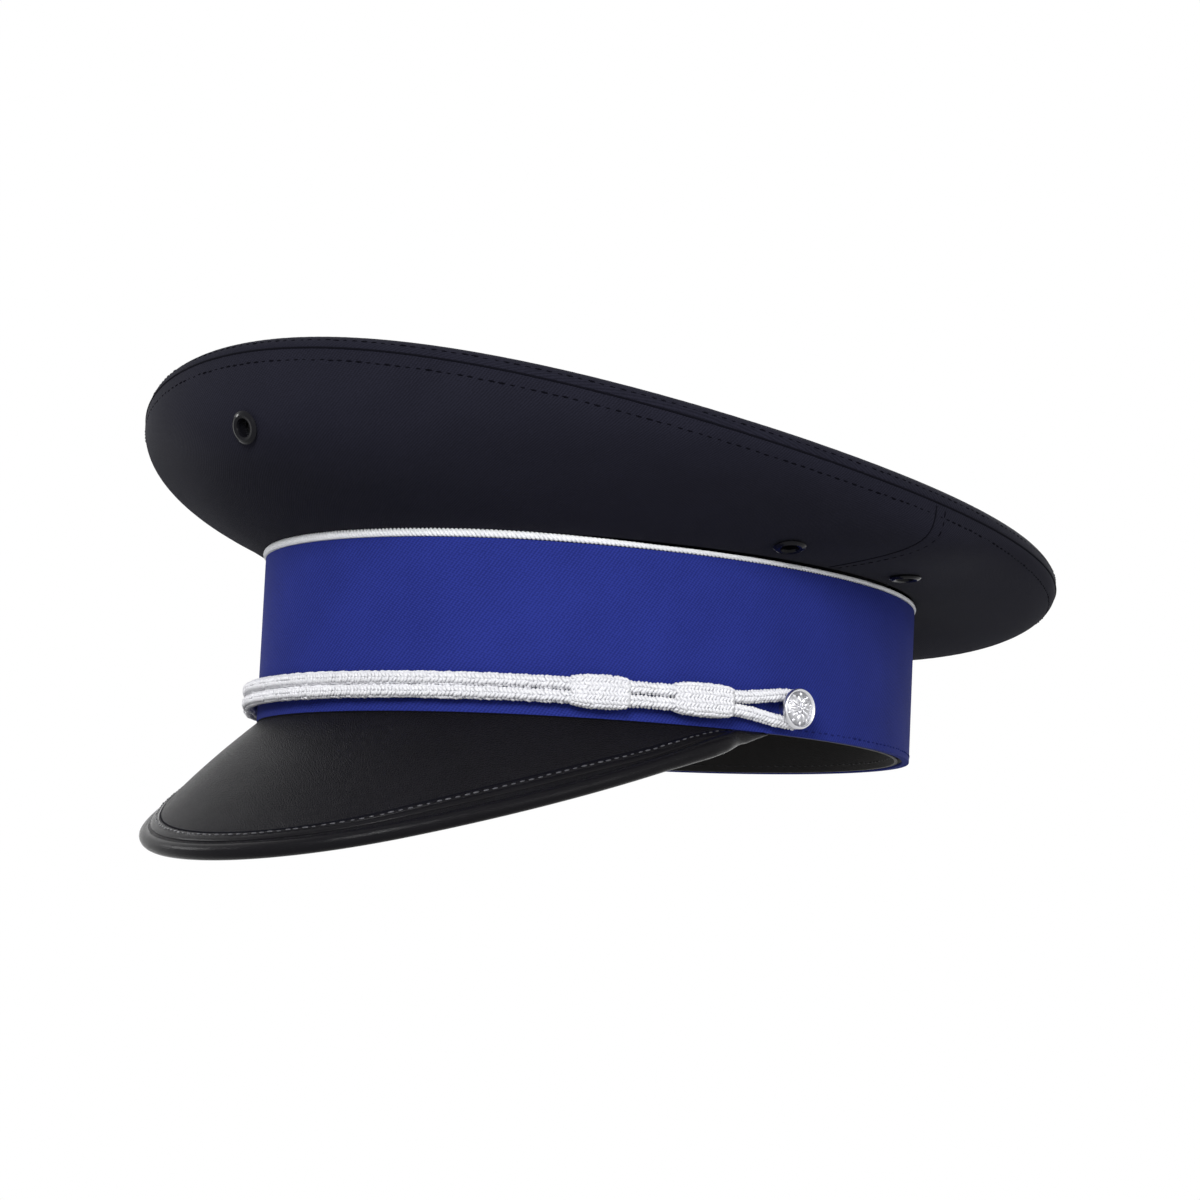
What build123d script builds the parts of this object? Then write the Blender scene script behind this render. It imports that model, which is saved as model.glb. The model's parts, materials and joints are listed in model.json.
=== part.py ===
from build123d import *
import math
import os

# Military peaked cap. Millimetres, +Z up, the cap's front towards -Y, the wearer's left at +X.
# The origin is the middle of the head opening, in the plane of the band's bottom edge.

# ---------------------------------------------------------------- driving dimensions

# Head band: an oval of four tangent arcs, upright, a little taller in front
BAND_HALF_LENGTH = 103.5
BAND_HALF_WIDTH = 86.0
BAND_END_RADIUS = 75.0
BAND_HEIGHT_FRONT = 46.7
BAND_HEIGHT_BACK = 43.6
BAND_CLOTH = 0.8
STIFFENER = 1.2
HIDDEN_GAP = 1.3            # between stiffener and sweatband, for visor flange and button pins
SWEATBAND = 1.0
SWEATBAND_HEIGHT = 38.0
PIPING_RADIUS = 1.1
PIPING_SET_IN = 0.2         # the piping's middle, behind the band's face

# Clearances
LAYER_GAP = 0.05            # between layers sewn to each other
LINER_GAP = 0.3             # between layers that only lie near each other
RUNNING_GAP = 0.05          # round a shaft that turns, or a cord in its knot

# Crown: an oval rim, tilted up in front, that dips at the sides
RIM_HALF_LENGTH = 145.1
RIM_HALF_WIDTH = 123.5
RIM_CENTRE_Y = 4.1
RIM_CENTRE_Z = 68.9
CROWN_TILT = 8.9
SADDLE = 3.14               # the sides dip by twice this
RIM_WAVE = 1.2
ROLL_HEIGHT = 4.4           # top panel above its seam
ROLL_RADIUS = 4.0
CROWN_CLOTH = 1.0
# The crown's upright side, then its underside: mean, and what the front and the sides add
STRIP = 12.8
STRIP_LENGTHWISE = 2.4
STRIP_CROSSWISE = 4.8
STRIP_FRONT = 3.1
STRIP_SIDE = 2.1
BULGE = 0.2
BULGE_FRONT = 1.3
FULLNESS = 0.05
FULLNESS_FRONT = 0.96
FULLNESS_SIDE = 0.95
FRONT_SPREAD = 30.0         # degrees of the rim over which the front's part fades
SIDE_SPREAD = 14.0
CORNER_DROP = 1.26          # the corner's depth, in strips
CORNER_OUT = 1.5
SEAM_DROP = 0.15            # the side panels' top edge, below the rim seam
SIDE_SEAM_TURN = 88.0       # side seams, in degrees round from the front
SEAM_SLIT = 0.03            # degrees between the two panels at a side seam
TOP_PADDING = 1.5
GROMMET_RADIUS = 1.85       # the springy ring that holds the rim out
GROMMET_SLIT = 0.1          # degrees, half the space between its ends
FERRULE_WALL = 0.2
FERRULE_SPAN = 10.0         # degrees of the rim under the ferrule
STAY_WIDTH = 16.0
STAY_THICKNESS = 0.6
STAY_FOOT = 37.0            # height of the stay's lower end, behind the stiffener
STAY_TRIM = 0.07            # share of the profile left free above the stay
LINING = 0.5
LINING_DEPTH = 9.5          # the lining's top, below the middle of the rim seam
LINING_HALF_LENGTH = 92.0
LINING_HALF_WIDTH = 78.0
SHIELD_LENGTH = 110.0
SHIELD_WIDTH = 76.0
SHIELD_THICKNESS = 0.3

# Eyelets: places as (name, degrees round from the front, share of the way down the profile)
EYELET_FLANGE = 9.0
EYELET_BORE = 4.6
EYELET_WALL = 0.4
EYELET_DOME = 0.9
EYELET_WASHER = 7.4
WASHER_SEAT = 0.6           # a flat washer inside the curved cloth touches only at its rim
EYELETS = (
    ("badge", 0.0, 0.4),
    ("vent_left_front", 75.5, 0.8),
    ("vent_left_back", 101.0, 0.83),
    ("vent_right_front", -75.5, 0.8),
    ("vent_right_back", -101.0, 0.83),
)

# Visor: an outline of four tangent arcs in an inclined plane, sewn in at the band's edge
VISOR_CORNER_Y = -19.8
VISOR_SLOPE = 18.95
VISOR_LENGTH = 133.4        # from the line through the corners to the tip, along the slope
VISOR_TIP_RADIUS = 66.0
VISOR_TIP_SPAN = 50.0       # half the turn of the tip arc
VISOR_RISE = 2.1            # the binding's middle, above the plane of its lower edge
VISOR_CAMBER = 1.0
CREST_SHARE = 0.62          # where the camber is highest
VISOR_COVER = 0.8
VISOR_BOARD = 1.4
VISOR_UNDERLINING = 0.6
BINDING_RADIUS = 2.2
VISOR_FLANGE = 1.0
VISOR_FLANGE_HEIGHT = 9.0
VISOR_ROOT = -0.6           # where the layers start, behind the band's face
VISOR_ROOT_SINK = 1.7       # steepest cut of the layers' inner ends
VISOR_FLANGE_TURN = 50.0
VISOR_END_TURN = 90.0
BINDING_END_TURN = 94.0

# Chin cord: one doubled cord, looped round two buttons, with two knots on each side
CORD_RADIUS = 2.0
CORD_PITCH = 4.06
CORD_STAND_OFF = 2.75       # the cords' middle, in front of the band's face
STRAP_HEIGHT = 6.8
BUTTON_Y = -16.3
LOOP_HALF_HEIGHT = 4.15
LOOP_BEHIND_POST = 3.8
LOOP_BEND = 3.5
LOOP_EASE = 3.0              # straight start of the loop, behind the rear knot
KNOT_OVERHANG = 0.4          # degrees of the side arc that the cord keeps past the rear knot
KNOTS = (("front", 31.9, 39.2), ("rear", 17.5, 25.6))   # from X, at the side arc's centre
KNOT_HEIGHT = 10.6
KNOT_INNER = 0.5
KNOT_OUTER = 6.0
KNOT_CORNER = 2.4

# Buttons
BUTTON_RADIUS = 6.0
BUTTON_HEIGHT = 3.0
BUTTON_STAND_OFF = 5.3
BUTTON_SHELL = 0.5
POST_RADIUS = 1.4
WASHER_RADIUS = 4.0
WASHER_THICKNESS = 0.25
PIN_RADIUS = 0.35
PIN_LENGTH = 7.0

# How finely the free-form pieces are described
CROWN_SECTIONS = 32
VISOR_SECTIONS = 20

# ---------------------------------------------------------------- the head oval

END_CENTRE = BAND_HALF_LENGTH - BAND_END_RADIUS
SIDE_RADIUS = (BAND_HALF_WIDTH**2 + END_CENTRE**2 - BAND_END_RADIUS**2) / (
    2 * (BAND_HALF_WIDTH - BAND_END_RADIUS)
)
SIDE_CENTRE = SIDE_RADIUS - BAND_HALF_WIDTH
JOIN_ANGLE = math.degrees(math.atan2(END_CENTRE, SIDE_CENTRE))


def oval(offset):
    """The band's outline, offset outwards, as a wire in the XY plane."""
    end, side = BAND_END_RADIUS + offset, SIDE_RADIUS + offset
    end_span, side_span = 180 - 2 * JOIN_ANGLE, 2 * JOIN_ANGLE
    return Wire([
        Edge.make_circle(end, Plane((0, -END_CENTRE, 0)), JOIN_ANGLE - 180, JOIN_ANGLE - 180 + end_span),
        Edge.make_circle(side, Plane((-SIDE_CENTRE, 0, 0)), -JOIN_ANGLE, -JOIN_ANGLE + side_span),
        Edge.make_circle(end, Plane((0, END_CENTRE, 0)), JOIN_ANGLE, JOIN_ANGLE + end_span),
        Edge.make_circle(side, Plane((SIDE_CENTRE, 0, 0)), 180 - JOIN_ANGLE, 180 - JOIN_ANGLE + side_span),
    ])


def oval_reach(offset, direction):
    """Distance from the middle to the oval, along a direction in radians from +X."""
    c, s = abs(math.cos(direction)), abs(math.sin(direction))
    join = math.radians(JOIN_ANGLE)
    join_x = SIDE_RADIUS * math.cos(join) - SIDE_CENTRE
    join_y = SIDE_RADIUS * math.sin(join)
    if s * join_x < c * join_y:
        radius = SIDE_RADIUS + offset
        return -SIDE_CENTRE * c + math.sqrt((SIDE_CENTRE * c) ** 2 - SIDE_CENTRE**2 + radius**2)
    radius = BAND_END_RADIUS + offset
    return END_CENTRE * s + math.sqrt((END_CENTRE * s) ** 2 - END_CENTRE**2 + radius**2)


def oval_point(offset, direction, z=0.0):
    reach = oval_reach(offset, direction)
    return Vector(reach * math.cos(direction), reach * math.sin(direction), z)


def oval_ring(outer, inner, z_low, z_high):
    """A wall between two offsets of the oval."""
    face = Face(oval(outer), [oval(inner)]).moved(Location((0, 0, z_low)))
    return Solid.extrude(face, Vector(0, 0, z_high - z_low))


def sector(half_turn, z_low, z_high, reach=200.0):
    """A wedge about the front direction, for cutting a stretch out of a ring."""
    left = math.radians(-90 + half_turn)
    right = math.radians(-90 - half_turn)
    points = [(0, 0, z_low)]
    points.append((reach * math.cos(right), reach * math.sin(right), z_low))
    points.append((0, -2 * reach, z_low))
    points.append((reach * math.cos(left), reach * math.sin(left), z_low))
    return Solid.extrude(Face(Wire.make_polygon(points)), Vector(0, 0, z_high - z_low))


BAND_TOP_MIDDLE = (BAND_HEIGHT_FRONT + BAND_HEIGHT_BACK) / 2
BAND_TOP_TILT = math.atan2(BAND_HEIGHT_FRONT - BAND_HEIGHT_BACK, 2 * BAND_HALF_LENGTH)


def band_top_plane(rise=0.0):
    """The plane of the band's top edge, which slopes down to the back."""
    normal = Vector(0, math.sin(BAND_TOP_TILT), math.cos(BAND_TOP_TILT))
    return Plane(Vector(0, 0, BAND_TOP_MIDDLE) + normal * rise, x_dir=(1, 0, 0), z_dir=normal)


def band_top_z(y, rise=0.0):
    return BAND_TOP_MIDDLE - y * math.tan(BAND_TOP_TILT) + rise


def below(solid, plane):
    return only_solid(solid.split(plane, keep=Keep.BOTTOM))


def only_solid(shape):
    """The one solid of a result, or an error if there are none or several."""
    solids = shape.solids()
    if len(solids) != 1:
        raise ValueError(f"expected one solid, got {len(solids)}")
    return solids[0]


# ---------------------------------------------------------------- the crown's form

TILT = math.radians(CROWN_TILT)
CROWN_UP = Vector(0, math.sin(TILT), math.cos(TILT))
CROWN_PLANE = Plane((0, RIM_CENTRE_Y, RIM_CENTRE_Z), x_dir=(1, 0, 0), z_dir=CROWN_UP)


def rim_height(x, y):
    """How far the rim's surface bends away from the crown plane, in that plane's own x and y."""
    across, along = x / RIM_HALF_WIDTH, -y / RIM_HALF_LENGTH
    return -2 * SADDLE * across**2 + RIM_WAVE * (4 * along**3 - 3 * along)


def rim_point(turn, rise=0.0):
    """A point on the rim seam; the turn is 0 in front and 90 at the wearer's left."""
    x = RIM_HALF_WIDTH * math.sin(math.radians(turn))
    y = -RIM_HALF_LENGTH * math.cos(math.radians(turn))
    return CROWN_PLANE.from_local_coords(Vector(x, y, rim_height(x, y) + rise))


def crown_profile(turn, inset=0.0):
    """Bezier points down the crown's side, from the rim seam to the piping."""
    angle = math.radians(turn)
    from_front = (turn + 180) % 360 - 180
    front = math.exp(-((from_front / FRONT_SPREAD) ** 2))
    side = math.exp(-(((abs(from_front) - 90) / SIDE_SPREAD) ** 2))
    strip = STRIP + STRIP_LENGTHWISE * math.cos(angle) + STRIP_CROSSWISE * math.cos(2 * angle)
    strip += STRIP_FRONT * front + STRIP_SIDE * side
    full = FULLNESS + FULLNESS_FRONT * front + FULLNESS_SIDE * side
    seam = rim_point(turn, -SEAM_DROP)
    direction = math.atan2(seam.Y, seam.X)
    foot = oval_point(-PIPING_SET_IN, direction)
    foot = Vector(foot.X, foot.Y, band_top_z(foot.Y, 2 * PIPING_RADIUS + 2 * LAYER_GAP))
    inward = foot - seam
    outward = (CROWN_UP * inward.dot(CROWN_UP) - inward).normalized()
    shoulder = seam - CROWN_UP * strip + outward * (BULGE + BULGE_FRONT * front)
    corner = seam - CROWN_UP * (CORNER_DROP * strip) + outward * CORNER_OUT
    knee = foot + (corner - foot) * full
    across = CROWN_UP.cross(outward).normalized()
    return inset_polygon([seam, shoulder, knee, foot], across, inset)


def inset_polygon(points, across, inset):
    """Move a flat control polygon to the crown's inside by the same distance all along."""
    legs = [(b - a).normalized() for a, b in zip(points, points[1:])]
    normals = [across.cross(leg).normalized() for leg in legs]
    moved = [points[0] + normals[0] * inset]
    for here, before, after in zip(points[1:-1], normals, normals[1:]):
        moved.append(here + (before + after) * (inset / (1 + before.dot(after))))
    moved.append(points[-1] + normals[-1] * inset)
    return moved


def bezier_point(points, share):
    a, b, c, d = points
    rest = 1 - share
    return a * rest**3 + b * (3 * rest**2 * share) + c * (3 * rest * share**2) + d * share**3


def bezier_slope(points, share):
    a, b, c, d = points
    rest = 1 - share
    slope = (b - a) * rest**2 + (c - b) * (2 * rest * share) + (d - c) * share**2
    return slope.normalized()


def crown_side_panel(turn_from, turn_to):
    """A panel of the crown's side, lofted round the rim through upright sections."""
    wires = []
    for i in range(CROWN_SECTIONS + 1):
        turn = turn_from + (turn_to - turn_from) * i / CROWN_SECTIONS
        outside = crown_profile(turn)
        inside = crown_profile(turn, CROWN_CLOTH)
        wires.append(Wire([
            Edge.make_bezier(*outside),
            Edge.make_line(outside[-1], inside[-1]),
            Edge.make_bezier(*reversed(inside)),
            Edge.make_line(inside[0], outside[0]),
        ]))
    return Solid.make_loft(wires)


def rim_slab(low, high):
    """The space between two heights above the rim's bent surface, in the crown plane."""
    steps = 12
    reach_x, reach_y = RIM_HALF_WIDTH * 1.08, RIM_HALF_LENGTH * 1.08
    grid = []
    for j in range(steps + 1):
        y = reach_y * (2 * j / steps - 1)
        row = []
        for i in range(steps + 1):
            x = reach_x * (2 * i / steps - 1)
            row.append(Vector(x, y, rim_height(x, y) + low))
        grid.append(row)
    sheet = Face.make_surface_from_array_of_points(grid, tol=1e-3)
    return Solid.extrude(sheet, Vector(0, 0, high - low))


def rim_plate(inset, low, high, roll=0.0):
    """A plate inside the rim oval, bent as the rim is, with its top edge rolled over."""
    deep = 40
    outline = Wire([Edge.make_ellipse(RIM_HALF_WIDTH - inset, RIM_HALF_LENGTH - inset)])
    prism = Solid.extrude(Face(outline).moved(Location((0, 0, -deep))), Vector(0, 0, 2 * deep))
    plate = only_solid(prism & rim_slab(low, high))
    if roll:
        top = max(plate.faces(), key=lambda face: face.center().Z)
        plate = only_solid(plate.fillet(roll, top.edges()))
    return plate


def in_crown(solid):
    """Carry a solid from the crown plane's own coordinates into the part's frame."""
    return only_solid(CROWN_PLANE.location * solid)


# ---------------------------------------------------------------- crown pieces

def crown_top_panel():
    outside = rim_plate(0, 0, ROLL_HEIGHT, ROLL_RADIUS)
    inside = rim_plate(CROWN_CLOTH, -1, ROLL_HEIGHT - CROWN_CLOTH, ROLL_RADIUS - CROWN_CLOTH)
    return in_crown(only_solid(outside - inside))


def top_padding():
    high = ROLL_HEIGHT - CROWN_CLOTH - LAYER_GAP
    inset = ROLL_RADIUS + CROWN_CLOTH
    return in_crown(rim_plate(inset, high - TOP_PADDING, high))


def rim_tube(radius, turn_from, turn_to):
    """A round bar along the inside of the rim."""
    inset = CROWN_CLOTH + LINER_GAP + GROMMET_RADIUS
    rise = ROLL_HEIGHT - ROLL_RADIUS
    steps = 6 + int((turn_to - turn_from) / 10)
    points = []
    for i in range(steps + 1):
        angle = math.radians(turn_from + (turn_to - turn_from) * i / steps)
        x = (RIM_HALF_WIDTH - inset) * math.sin(angle)
        y = -(RIM_HALF_LENGTH - inset) * math.cos(angle)
        points.append(Vector(x, y, rim_height(x, y) + rise))
    path = Wire([Edge.make_spline(points)])
    start = Plane(path @ 0, z_dir=path % 0)
    return in_crown(Solid.sweep(Face(Wire.make_circle(radius, start)), path=path))


def crown_grommet():
    """The ring that holds the rim out, with its two ends nearly touching at the back."""
    return rim_tube(GROMMET_RADIUS, GROMMET_SLIT - 180, 180 - GROMMET_SLIT)


def grommet_ferrule():
    """The sleeve that joins the grommet's two ends at the back."""
    start, end = 180 - FERRULE_SPAN / 2, 180 + FERRULE_SPAN / 2
    sleeve = rim_tube(GROMMET_RADIUS + LAYER_GAP + FERRULE_WALL, start, end)
    bore = rim_tube(GROMMET_RADIUS + LAYER_GAP, start - 1, end + 1)
    return only_solid(sleeve - bore)


def pierced(panel, names):
    """A panel with the holes for its eyelets' barrels."""
    hole = EYELET_BORE / 2 + EYELET_WALL + LAYER_GAP
    for name, turn, share in EYELETS:
        if name in names:
            place = eyelet_plane(turn, share)
            panel = panel - Solid.make_cylinder(hole, 8, place.offset(-5))
    return only_solid(panel)


def eyelet_plane(turn, share):
    """The plane that touches the crown's outside at an eyelet, facing outwards."""
    points = crown_profile(turn)
    down = bezier_slope(points, share)
    aside = bezier_point(crown_profile(turn + 1), share) - bezier_point(crown_profile(turn - 1), share)
    return Plane(bezier_point(points, share), x_dir=down, z_dir=down.cross(aside).normalized())


def turned(points, plane):
    """A ring turned from half a cross-section, given as (radius, height) pairs."""
    corners = [plane.from_local_coords(Vector(r, 0, h)) for r, h in points]
    face = Face(Wire.make_polygon(corners))
    return Solid.revolve(face, 360, Axis(plane.origin, plane.z_dir))


def eyelet(turn, share):
    """Outer half: a low domed flange with a barrel through the cloth."""
    bore, wall, flange = EYELET_BORE / 2, EYELET_WALL, EYELET_FLANGE / 2
    seat = LINER_GAP
    foot = -CROWN_CLOTH - WASHER_SEAT - 2 * wall
    return turned([
        (bore, foot), (bore + wall, foot), (bore + wall, seat), (flange - 0.2, seat),
        (flange, seat + 0.25), (flange - 0.5, seat + EYELET_DOME * 0.7),
        (bore + 1.1, seat + EYELET_DOME), (bore + 0.3, seat + EYELET_DOME * 0.75), (bore, seat),
    ], eyelet_plane(turn, share))


def eyelet_washer(turn, share):
    """Inner half: a flat washer that the barrel is set through."""
    bore = EYELET_BORE / 2 + EYELET_WALL + LAYER_GAP
    top = -CROWN_CLOTH - WASHER_SEAT
    return turned([
        (bore, top - EYELET_WALL), (EYELET_WASHER / 2, top - EYELET_WALL),
        (EYELET_WASHER / 2, top), (bore, top),
    ], eyelet_plane(turn, share))


def front_stay():
    """The flat spring that props the rim up in front, with its foot behind the stiffener."""
    half = STAY_WIDTH / 2
    bow = half**2 / (2 * (BAND_END_RADIUS + STIFFENER_IN))
    clear = CROWN_CLOTH + WASHER_SEAT + 2 * EYELET_WALL + LINER_GAP + bow
    outer, inner = crown_profile(0, clear), crown_profile(0, clear + STAY_THICKNESS)
    front = -BAND_HALF_LENGTH - STIFFENER_IN + bow + LAYER_GAP
    back = front + STAY_THICKNESS
    bend = outer[-1].Z - 1.0
    edges = [
        Edge.make_bezier(*outer).trim(STAY_TRIM, 1),
        Edge.make_line(outer[-1], (0, front, bend)),
        Edge.make_line((0, front, bend), (0, front, STAY_FOOT)),
        Edge.make_line((0, front, STAY_FOOT), (0, back, STAY_FOOT)),
        Edge.make_line((0, back, STAY_FOOT), (0, back, bend + STAY_THICKNESS)),
        Edge.make_line((0, back, bend + STAY_THICKNESS), inner[-1]),
        Edge.make_bezier(*inner).trim(STAY_TRIM, 1),
    ]
    edges.append(Edge.make_line(edges[-1] @ 0, edges[0] @ 0))
    face = Face(Wire(edges)).moved(Location((-half, 0, 0)))
    return Solid.extrude(face, Vector(STAY_WIDTH, 0, 0))


# ---------------------------------------------------------------- lining

LINING_START = -(BAND_CLOTH + STIFFENER + HIDDEN_GAP + LAYER_GAP)


def lining_oval(inset):
    """The lining's top outline, in the plane of the crown, as a wire."""
    plane = CROWN_PLANE.offset(-LINING_DEPTH)
    ellipse = Edge.make_ellipse(LINING_HALF_WIDTH - inset, LINING_HALF_LENGTH - inset, plane, 0, 360)
    return Wire([ellipse])


def lining_side():
    """The cloth wall from the sweatband's top edge up to the lining's top."""
    z = SWEATBAND_HEIGHT + LAYER_GAP
    shells = []
    for inset in (0, LINING):
        shells.append(Solid.make_loft([lining_low(inset, z), lining_oval(inset)], ruled=True))
    return only_solid(shells[0] - shells[1])


def lining_low(inset, z):
    """A smooth closed curve a little inside the stiffener."""
    points = []
    for i in range(24):
        direction = math.radians(15 * i)
        points.append(oval_point(LINING_START - inset, direction, z))
    return Wire([Edge.make_spline(points, periodic=True)])


def lining_top():
    plane = CROWN_PLANE.offset(-LINING_DEPTH + LAYER_GAP)
    ellipse = Edge.make_ellipse(LINING_HALF_WIDTH, LINING_HALF_LENGTH, plane, 0, 360)
    return Solid.extrude(Face(Wire([ellipse])), CROWN_UP * LINING)


def sweat_shield():
    """The clear lozenge under the lining's top."""
    plane = CROWN_PLANE.offset(-LINING_DEPTH - SHIELD_THICKNESS)
    corners = [(0, -SHIELD_LENGTH / 2), (SHIELD_WIDTH / 2, 0), (0, SHIELD_LENGTH / 2), (-SHIELD_WIDTH / 2, 0)]
    face = Face(Wire.make_polygon([plane.from_local_coords(Vector(x, y, 0)) for x, y in corners]))
    return Solid.extrude(face, CROWN_UP * SHIELD_THICKNESS)


# ---------------------------------------------------------------- head band

STIFFENER_IN = -(BAND_CLOTH + STIFFENER)
SWEATBAND_OUT = STIFFENER_IN - HIDDEN_GAP


def band_cloth():
    """The coloured cloth, with a hem turned in under the stiffener."""
    high = BAND_HEIGHT_FRONT + 1
    face = oval_ring(0, -BAND_CLOTH, 0, high)
    hem = oval_ring(-BAND_CLOTH / 2, STIFFENER_IN, 0, BAND_CLOTH)
    return drilled(below(only_solid(face + hem), band_top_plane()))


def band_stiffener():
    ring = oval_ring(-BAND_CLOTH - LAYER_GAP, STIFFENER_IN, BAND_CLOTH + LAYER_GAP, BAND_HEIGHT_FRONT + 1)
    return drilled(below(ring, band_top_plane()))


def drilled(ring):
    """A band layer with the two holes for the button posts."""
    for side in (1, -1):
        place = button_plane(side)
        ring = ring - Solid.make_cylinder(POST_RADIUS + RUNNING_GAP, 12, place.offset(-8))
    return only_solid(ring)


def band_piping():
    """The corded piping that stands on the band's top edge."""
    plane = band_top_plane(PIPING_RADIUS + LAYER_GAP)
    path = plane.location * oval(-PIPING_SET_IN)
    start = Plane(path @ 0, z_dir=path % 0)
    return only_solid(Solid.sweep(Face(Wire.make_circle(PIPING_RADIUS, start)), path=path))


def sweatband():
    return oval_ring(SWEATBAND_OUT, SWEATBAND_OUT - SWEATBAND, 0.2, SWEATBAND_HEIGHT)


def forehead_pad():
    """Foam behind the sweatband, across the forehead."""
    ring = oval_ring(STIFFENER_IN - LAYER_GAP, SWEATBAND_OUT + LAYER_GAP, 12, SWEATBAND_HEIGHT - 3)
    return only_solid(ring & sector(38, 0, 60))


# ---------------------------------------------------------------- visor

SLOPE = math.radians(VISOR_SLOPE)
VISOR_FORWARD = Vector(0, -math.cos(SLOPE), -math.sin(SLOPE))
VISOR_UP = Vector(0, -math.sin(SLOPE), math.cos(SLOPE))
VISOR_CORNER_X = oval_reach(0, math.atan2(VISOR_CORNER_Y, BAND_HALF_WIDTH)) * math.cos(
    math.atan2(VISOR_CORNER_Y, BAND_HALF_WIDTH)
)
TIP_CENTRE = VISOR_LENGTH - VISOR_TIP_RADIUS
SPAN = math.radians(VISOR_TIP_SPAN)
# The side arcs pass through the corners and meet the tip arc without a kink
FLANK_EXTRA = (VISOR_CORNER_X**2 + TIP_CENTRE**2 - VISOR_TIP_RADIUS**2) / (
    2 * (VISOR_TIP_RADIUS - VISOR_CORNER_X * math.sin(SPAN) + TIP_CENTRE * math.cos(SPAN))
)


def visor_outline(turn, inset=0.0):
    """A point of the visor's edge; the turn is 0 at the tip and positive to the wearer's left."""
    angle = math.radians(turn)
    x, forward = 0.0, TIP_CENTRE
    radius = VISOR_TIP_RADIUS - inset
    if abs(angle) > SPAN:
        x -= math.copysign(FLANK_EXTRA * math.sin(SPAN), angle)
        forward -= FLANK_EXTRA * math.cos(SPAN)
        radius += FLANK_EXTRA
    x += radius * math.sin(angle)
    forward += radius * math.cos(angle)
    return Vector(x, VISOR_CORNER_Y, 0) + VISOR_FORWARD * forward + VISOR_UP * VISOR_RISE


VISOR_LAYERS = VISOR_COVER + VISOR_BOARD + VISOR_UNDERLINING


def visor_section(turn, depth, grip):
    """The line across the visor at one turn, from under the band to the binding, at a depth."""
    edge = visor_outline(turn, BINDING_RADIUS - grip)
    root = oval_point(VISOR_ROOT, math.atan2(edge.Y, edge.X), -2 * LAYER_GAP)
    across = edge - root
    normal = across.cross(Vector(0, 0, 1)).cross(across).normalized()
    camber = VISOR_CAMBER * min(1.0, across.length / 40)
    rise = VISOR_LAYERS / 2
    crest = root + across * CREST_SHARE + normal * (2 * camber + CREST_SHARE * rise - depth)
    steep = across.length / Vector(across.X, across.Y, 0).length
    sink = depth * min(steep, VISOR_ROOT_SINK, across.length / (2 * VISOR_LAYERS))
    return [root - Vector(0, 0, sink), crest, edge + normal * (rise - depth)]


def visor_layer(top, bottom, grip=0.0, end_extra=0.0):
    """A layer of the visor between two depths, reaching to the binding's middle."""
    wires = []
    for i in range(VISOR_SECTIONS + 1):
        turn = VISOR_END_TURN * (2 * i / VISOR_SECTIONS - 1)
        if i in (0, VISOR_SECTIONS):
            turn += math.copysign(end_extra, turn)
        upper = visor_section(turn, top, grip)
        lower = visor_section(turn, bottom, grip)
        wires.append(Wire([
            Edge.make_bezier(*upper),
            Edge.make_line(upper[-1], lower[-1]),
            Edge.make_bezier(*reversed(lower)),
            Edge.make_line(lower[0], upper[0]),
        ]))
    return Solid.make_loft(wires)


def visor_cover():
    return visor_layer(0, VISOR_COVER)


def visor_board():
    """The stiff board, with a flange that stands up behind the band's stiffener."""
    top = VISOR_COVER + LAYER_GAP
    board = visor_layer(top, top + VISOR_BOARD - LAYER_GAP)
    outer = STIFFENER_IN - LAYER_GAP
    inner = outer - VISOR_FLANGE
    flange = oval_ring(outer, inner, -VISOR_LAYERS, VISOR_FLANGE_HEIGHT)
    ledge = oval_ring(VISOR_ROOT + LAYER_GAP, inner, -VISOR_LAYERS, -top * VISOR_ROOT_SINK - 2 * LAYER_GAP)
    return only_solid(board + (flange + ledge & sector(VISOR_FLANGE_TURN, -10, 20)))


def visor_underlining():
    top = VISOR_COVER + VISOR_BOARD + LAYER_GAP
    return visor_layer(top, top + VISOR_UNDERLINING - LAYER_GAP)


def visor_binding():
    """The rounded edging, grooved where it grips the visor's layers."""
    stations = (-BINDING_END_TURN, -VISOR_TIP_SPAN, 0, VISOR_TIP_SPAN, BINDING_END_TURN)
    arcs = []
    for a, b in zip(stations, stations[1:]):
        points = [visor_outline(turn, BINDING_RADIUS) for turn in (a, (a + b) / 2, b)]
        arcs.append(Edge.make_three_point_arc(*points))
    path = Wire(arcs)
    start = Plane(path @ 0, z_dir=path % 0)
    bead = Solid.sweep(Face(Wire.make_circle(BINDING_RADIUS, start)), path=path)
    bead = below(bead, Plane.XY.offset(-2 * LAYER_GAP))
    return only_solid(bead - visor_layer(-LAYER_GAP, VISOR_LAYERS + LAYER_GAP, LAYER_GAP, 0.3))


# ---------------------------------------------------------------- chin cord and knots

KNOT_REAR_END = KNOTS[1][1]


def side_arc_point(offset, angle, side, z):
    """A point at an angle from X on the side arc, towards the front of the cap."""
    radius = SIDE_RADIUS + offset
    x = radius * math.cos(math.radians(angle)) - SIDE_CENTRE
    return Vector(side * x, -radius * math.sin(math.radians(angle)), z)


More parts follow.
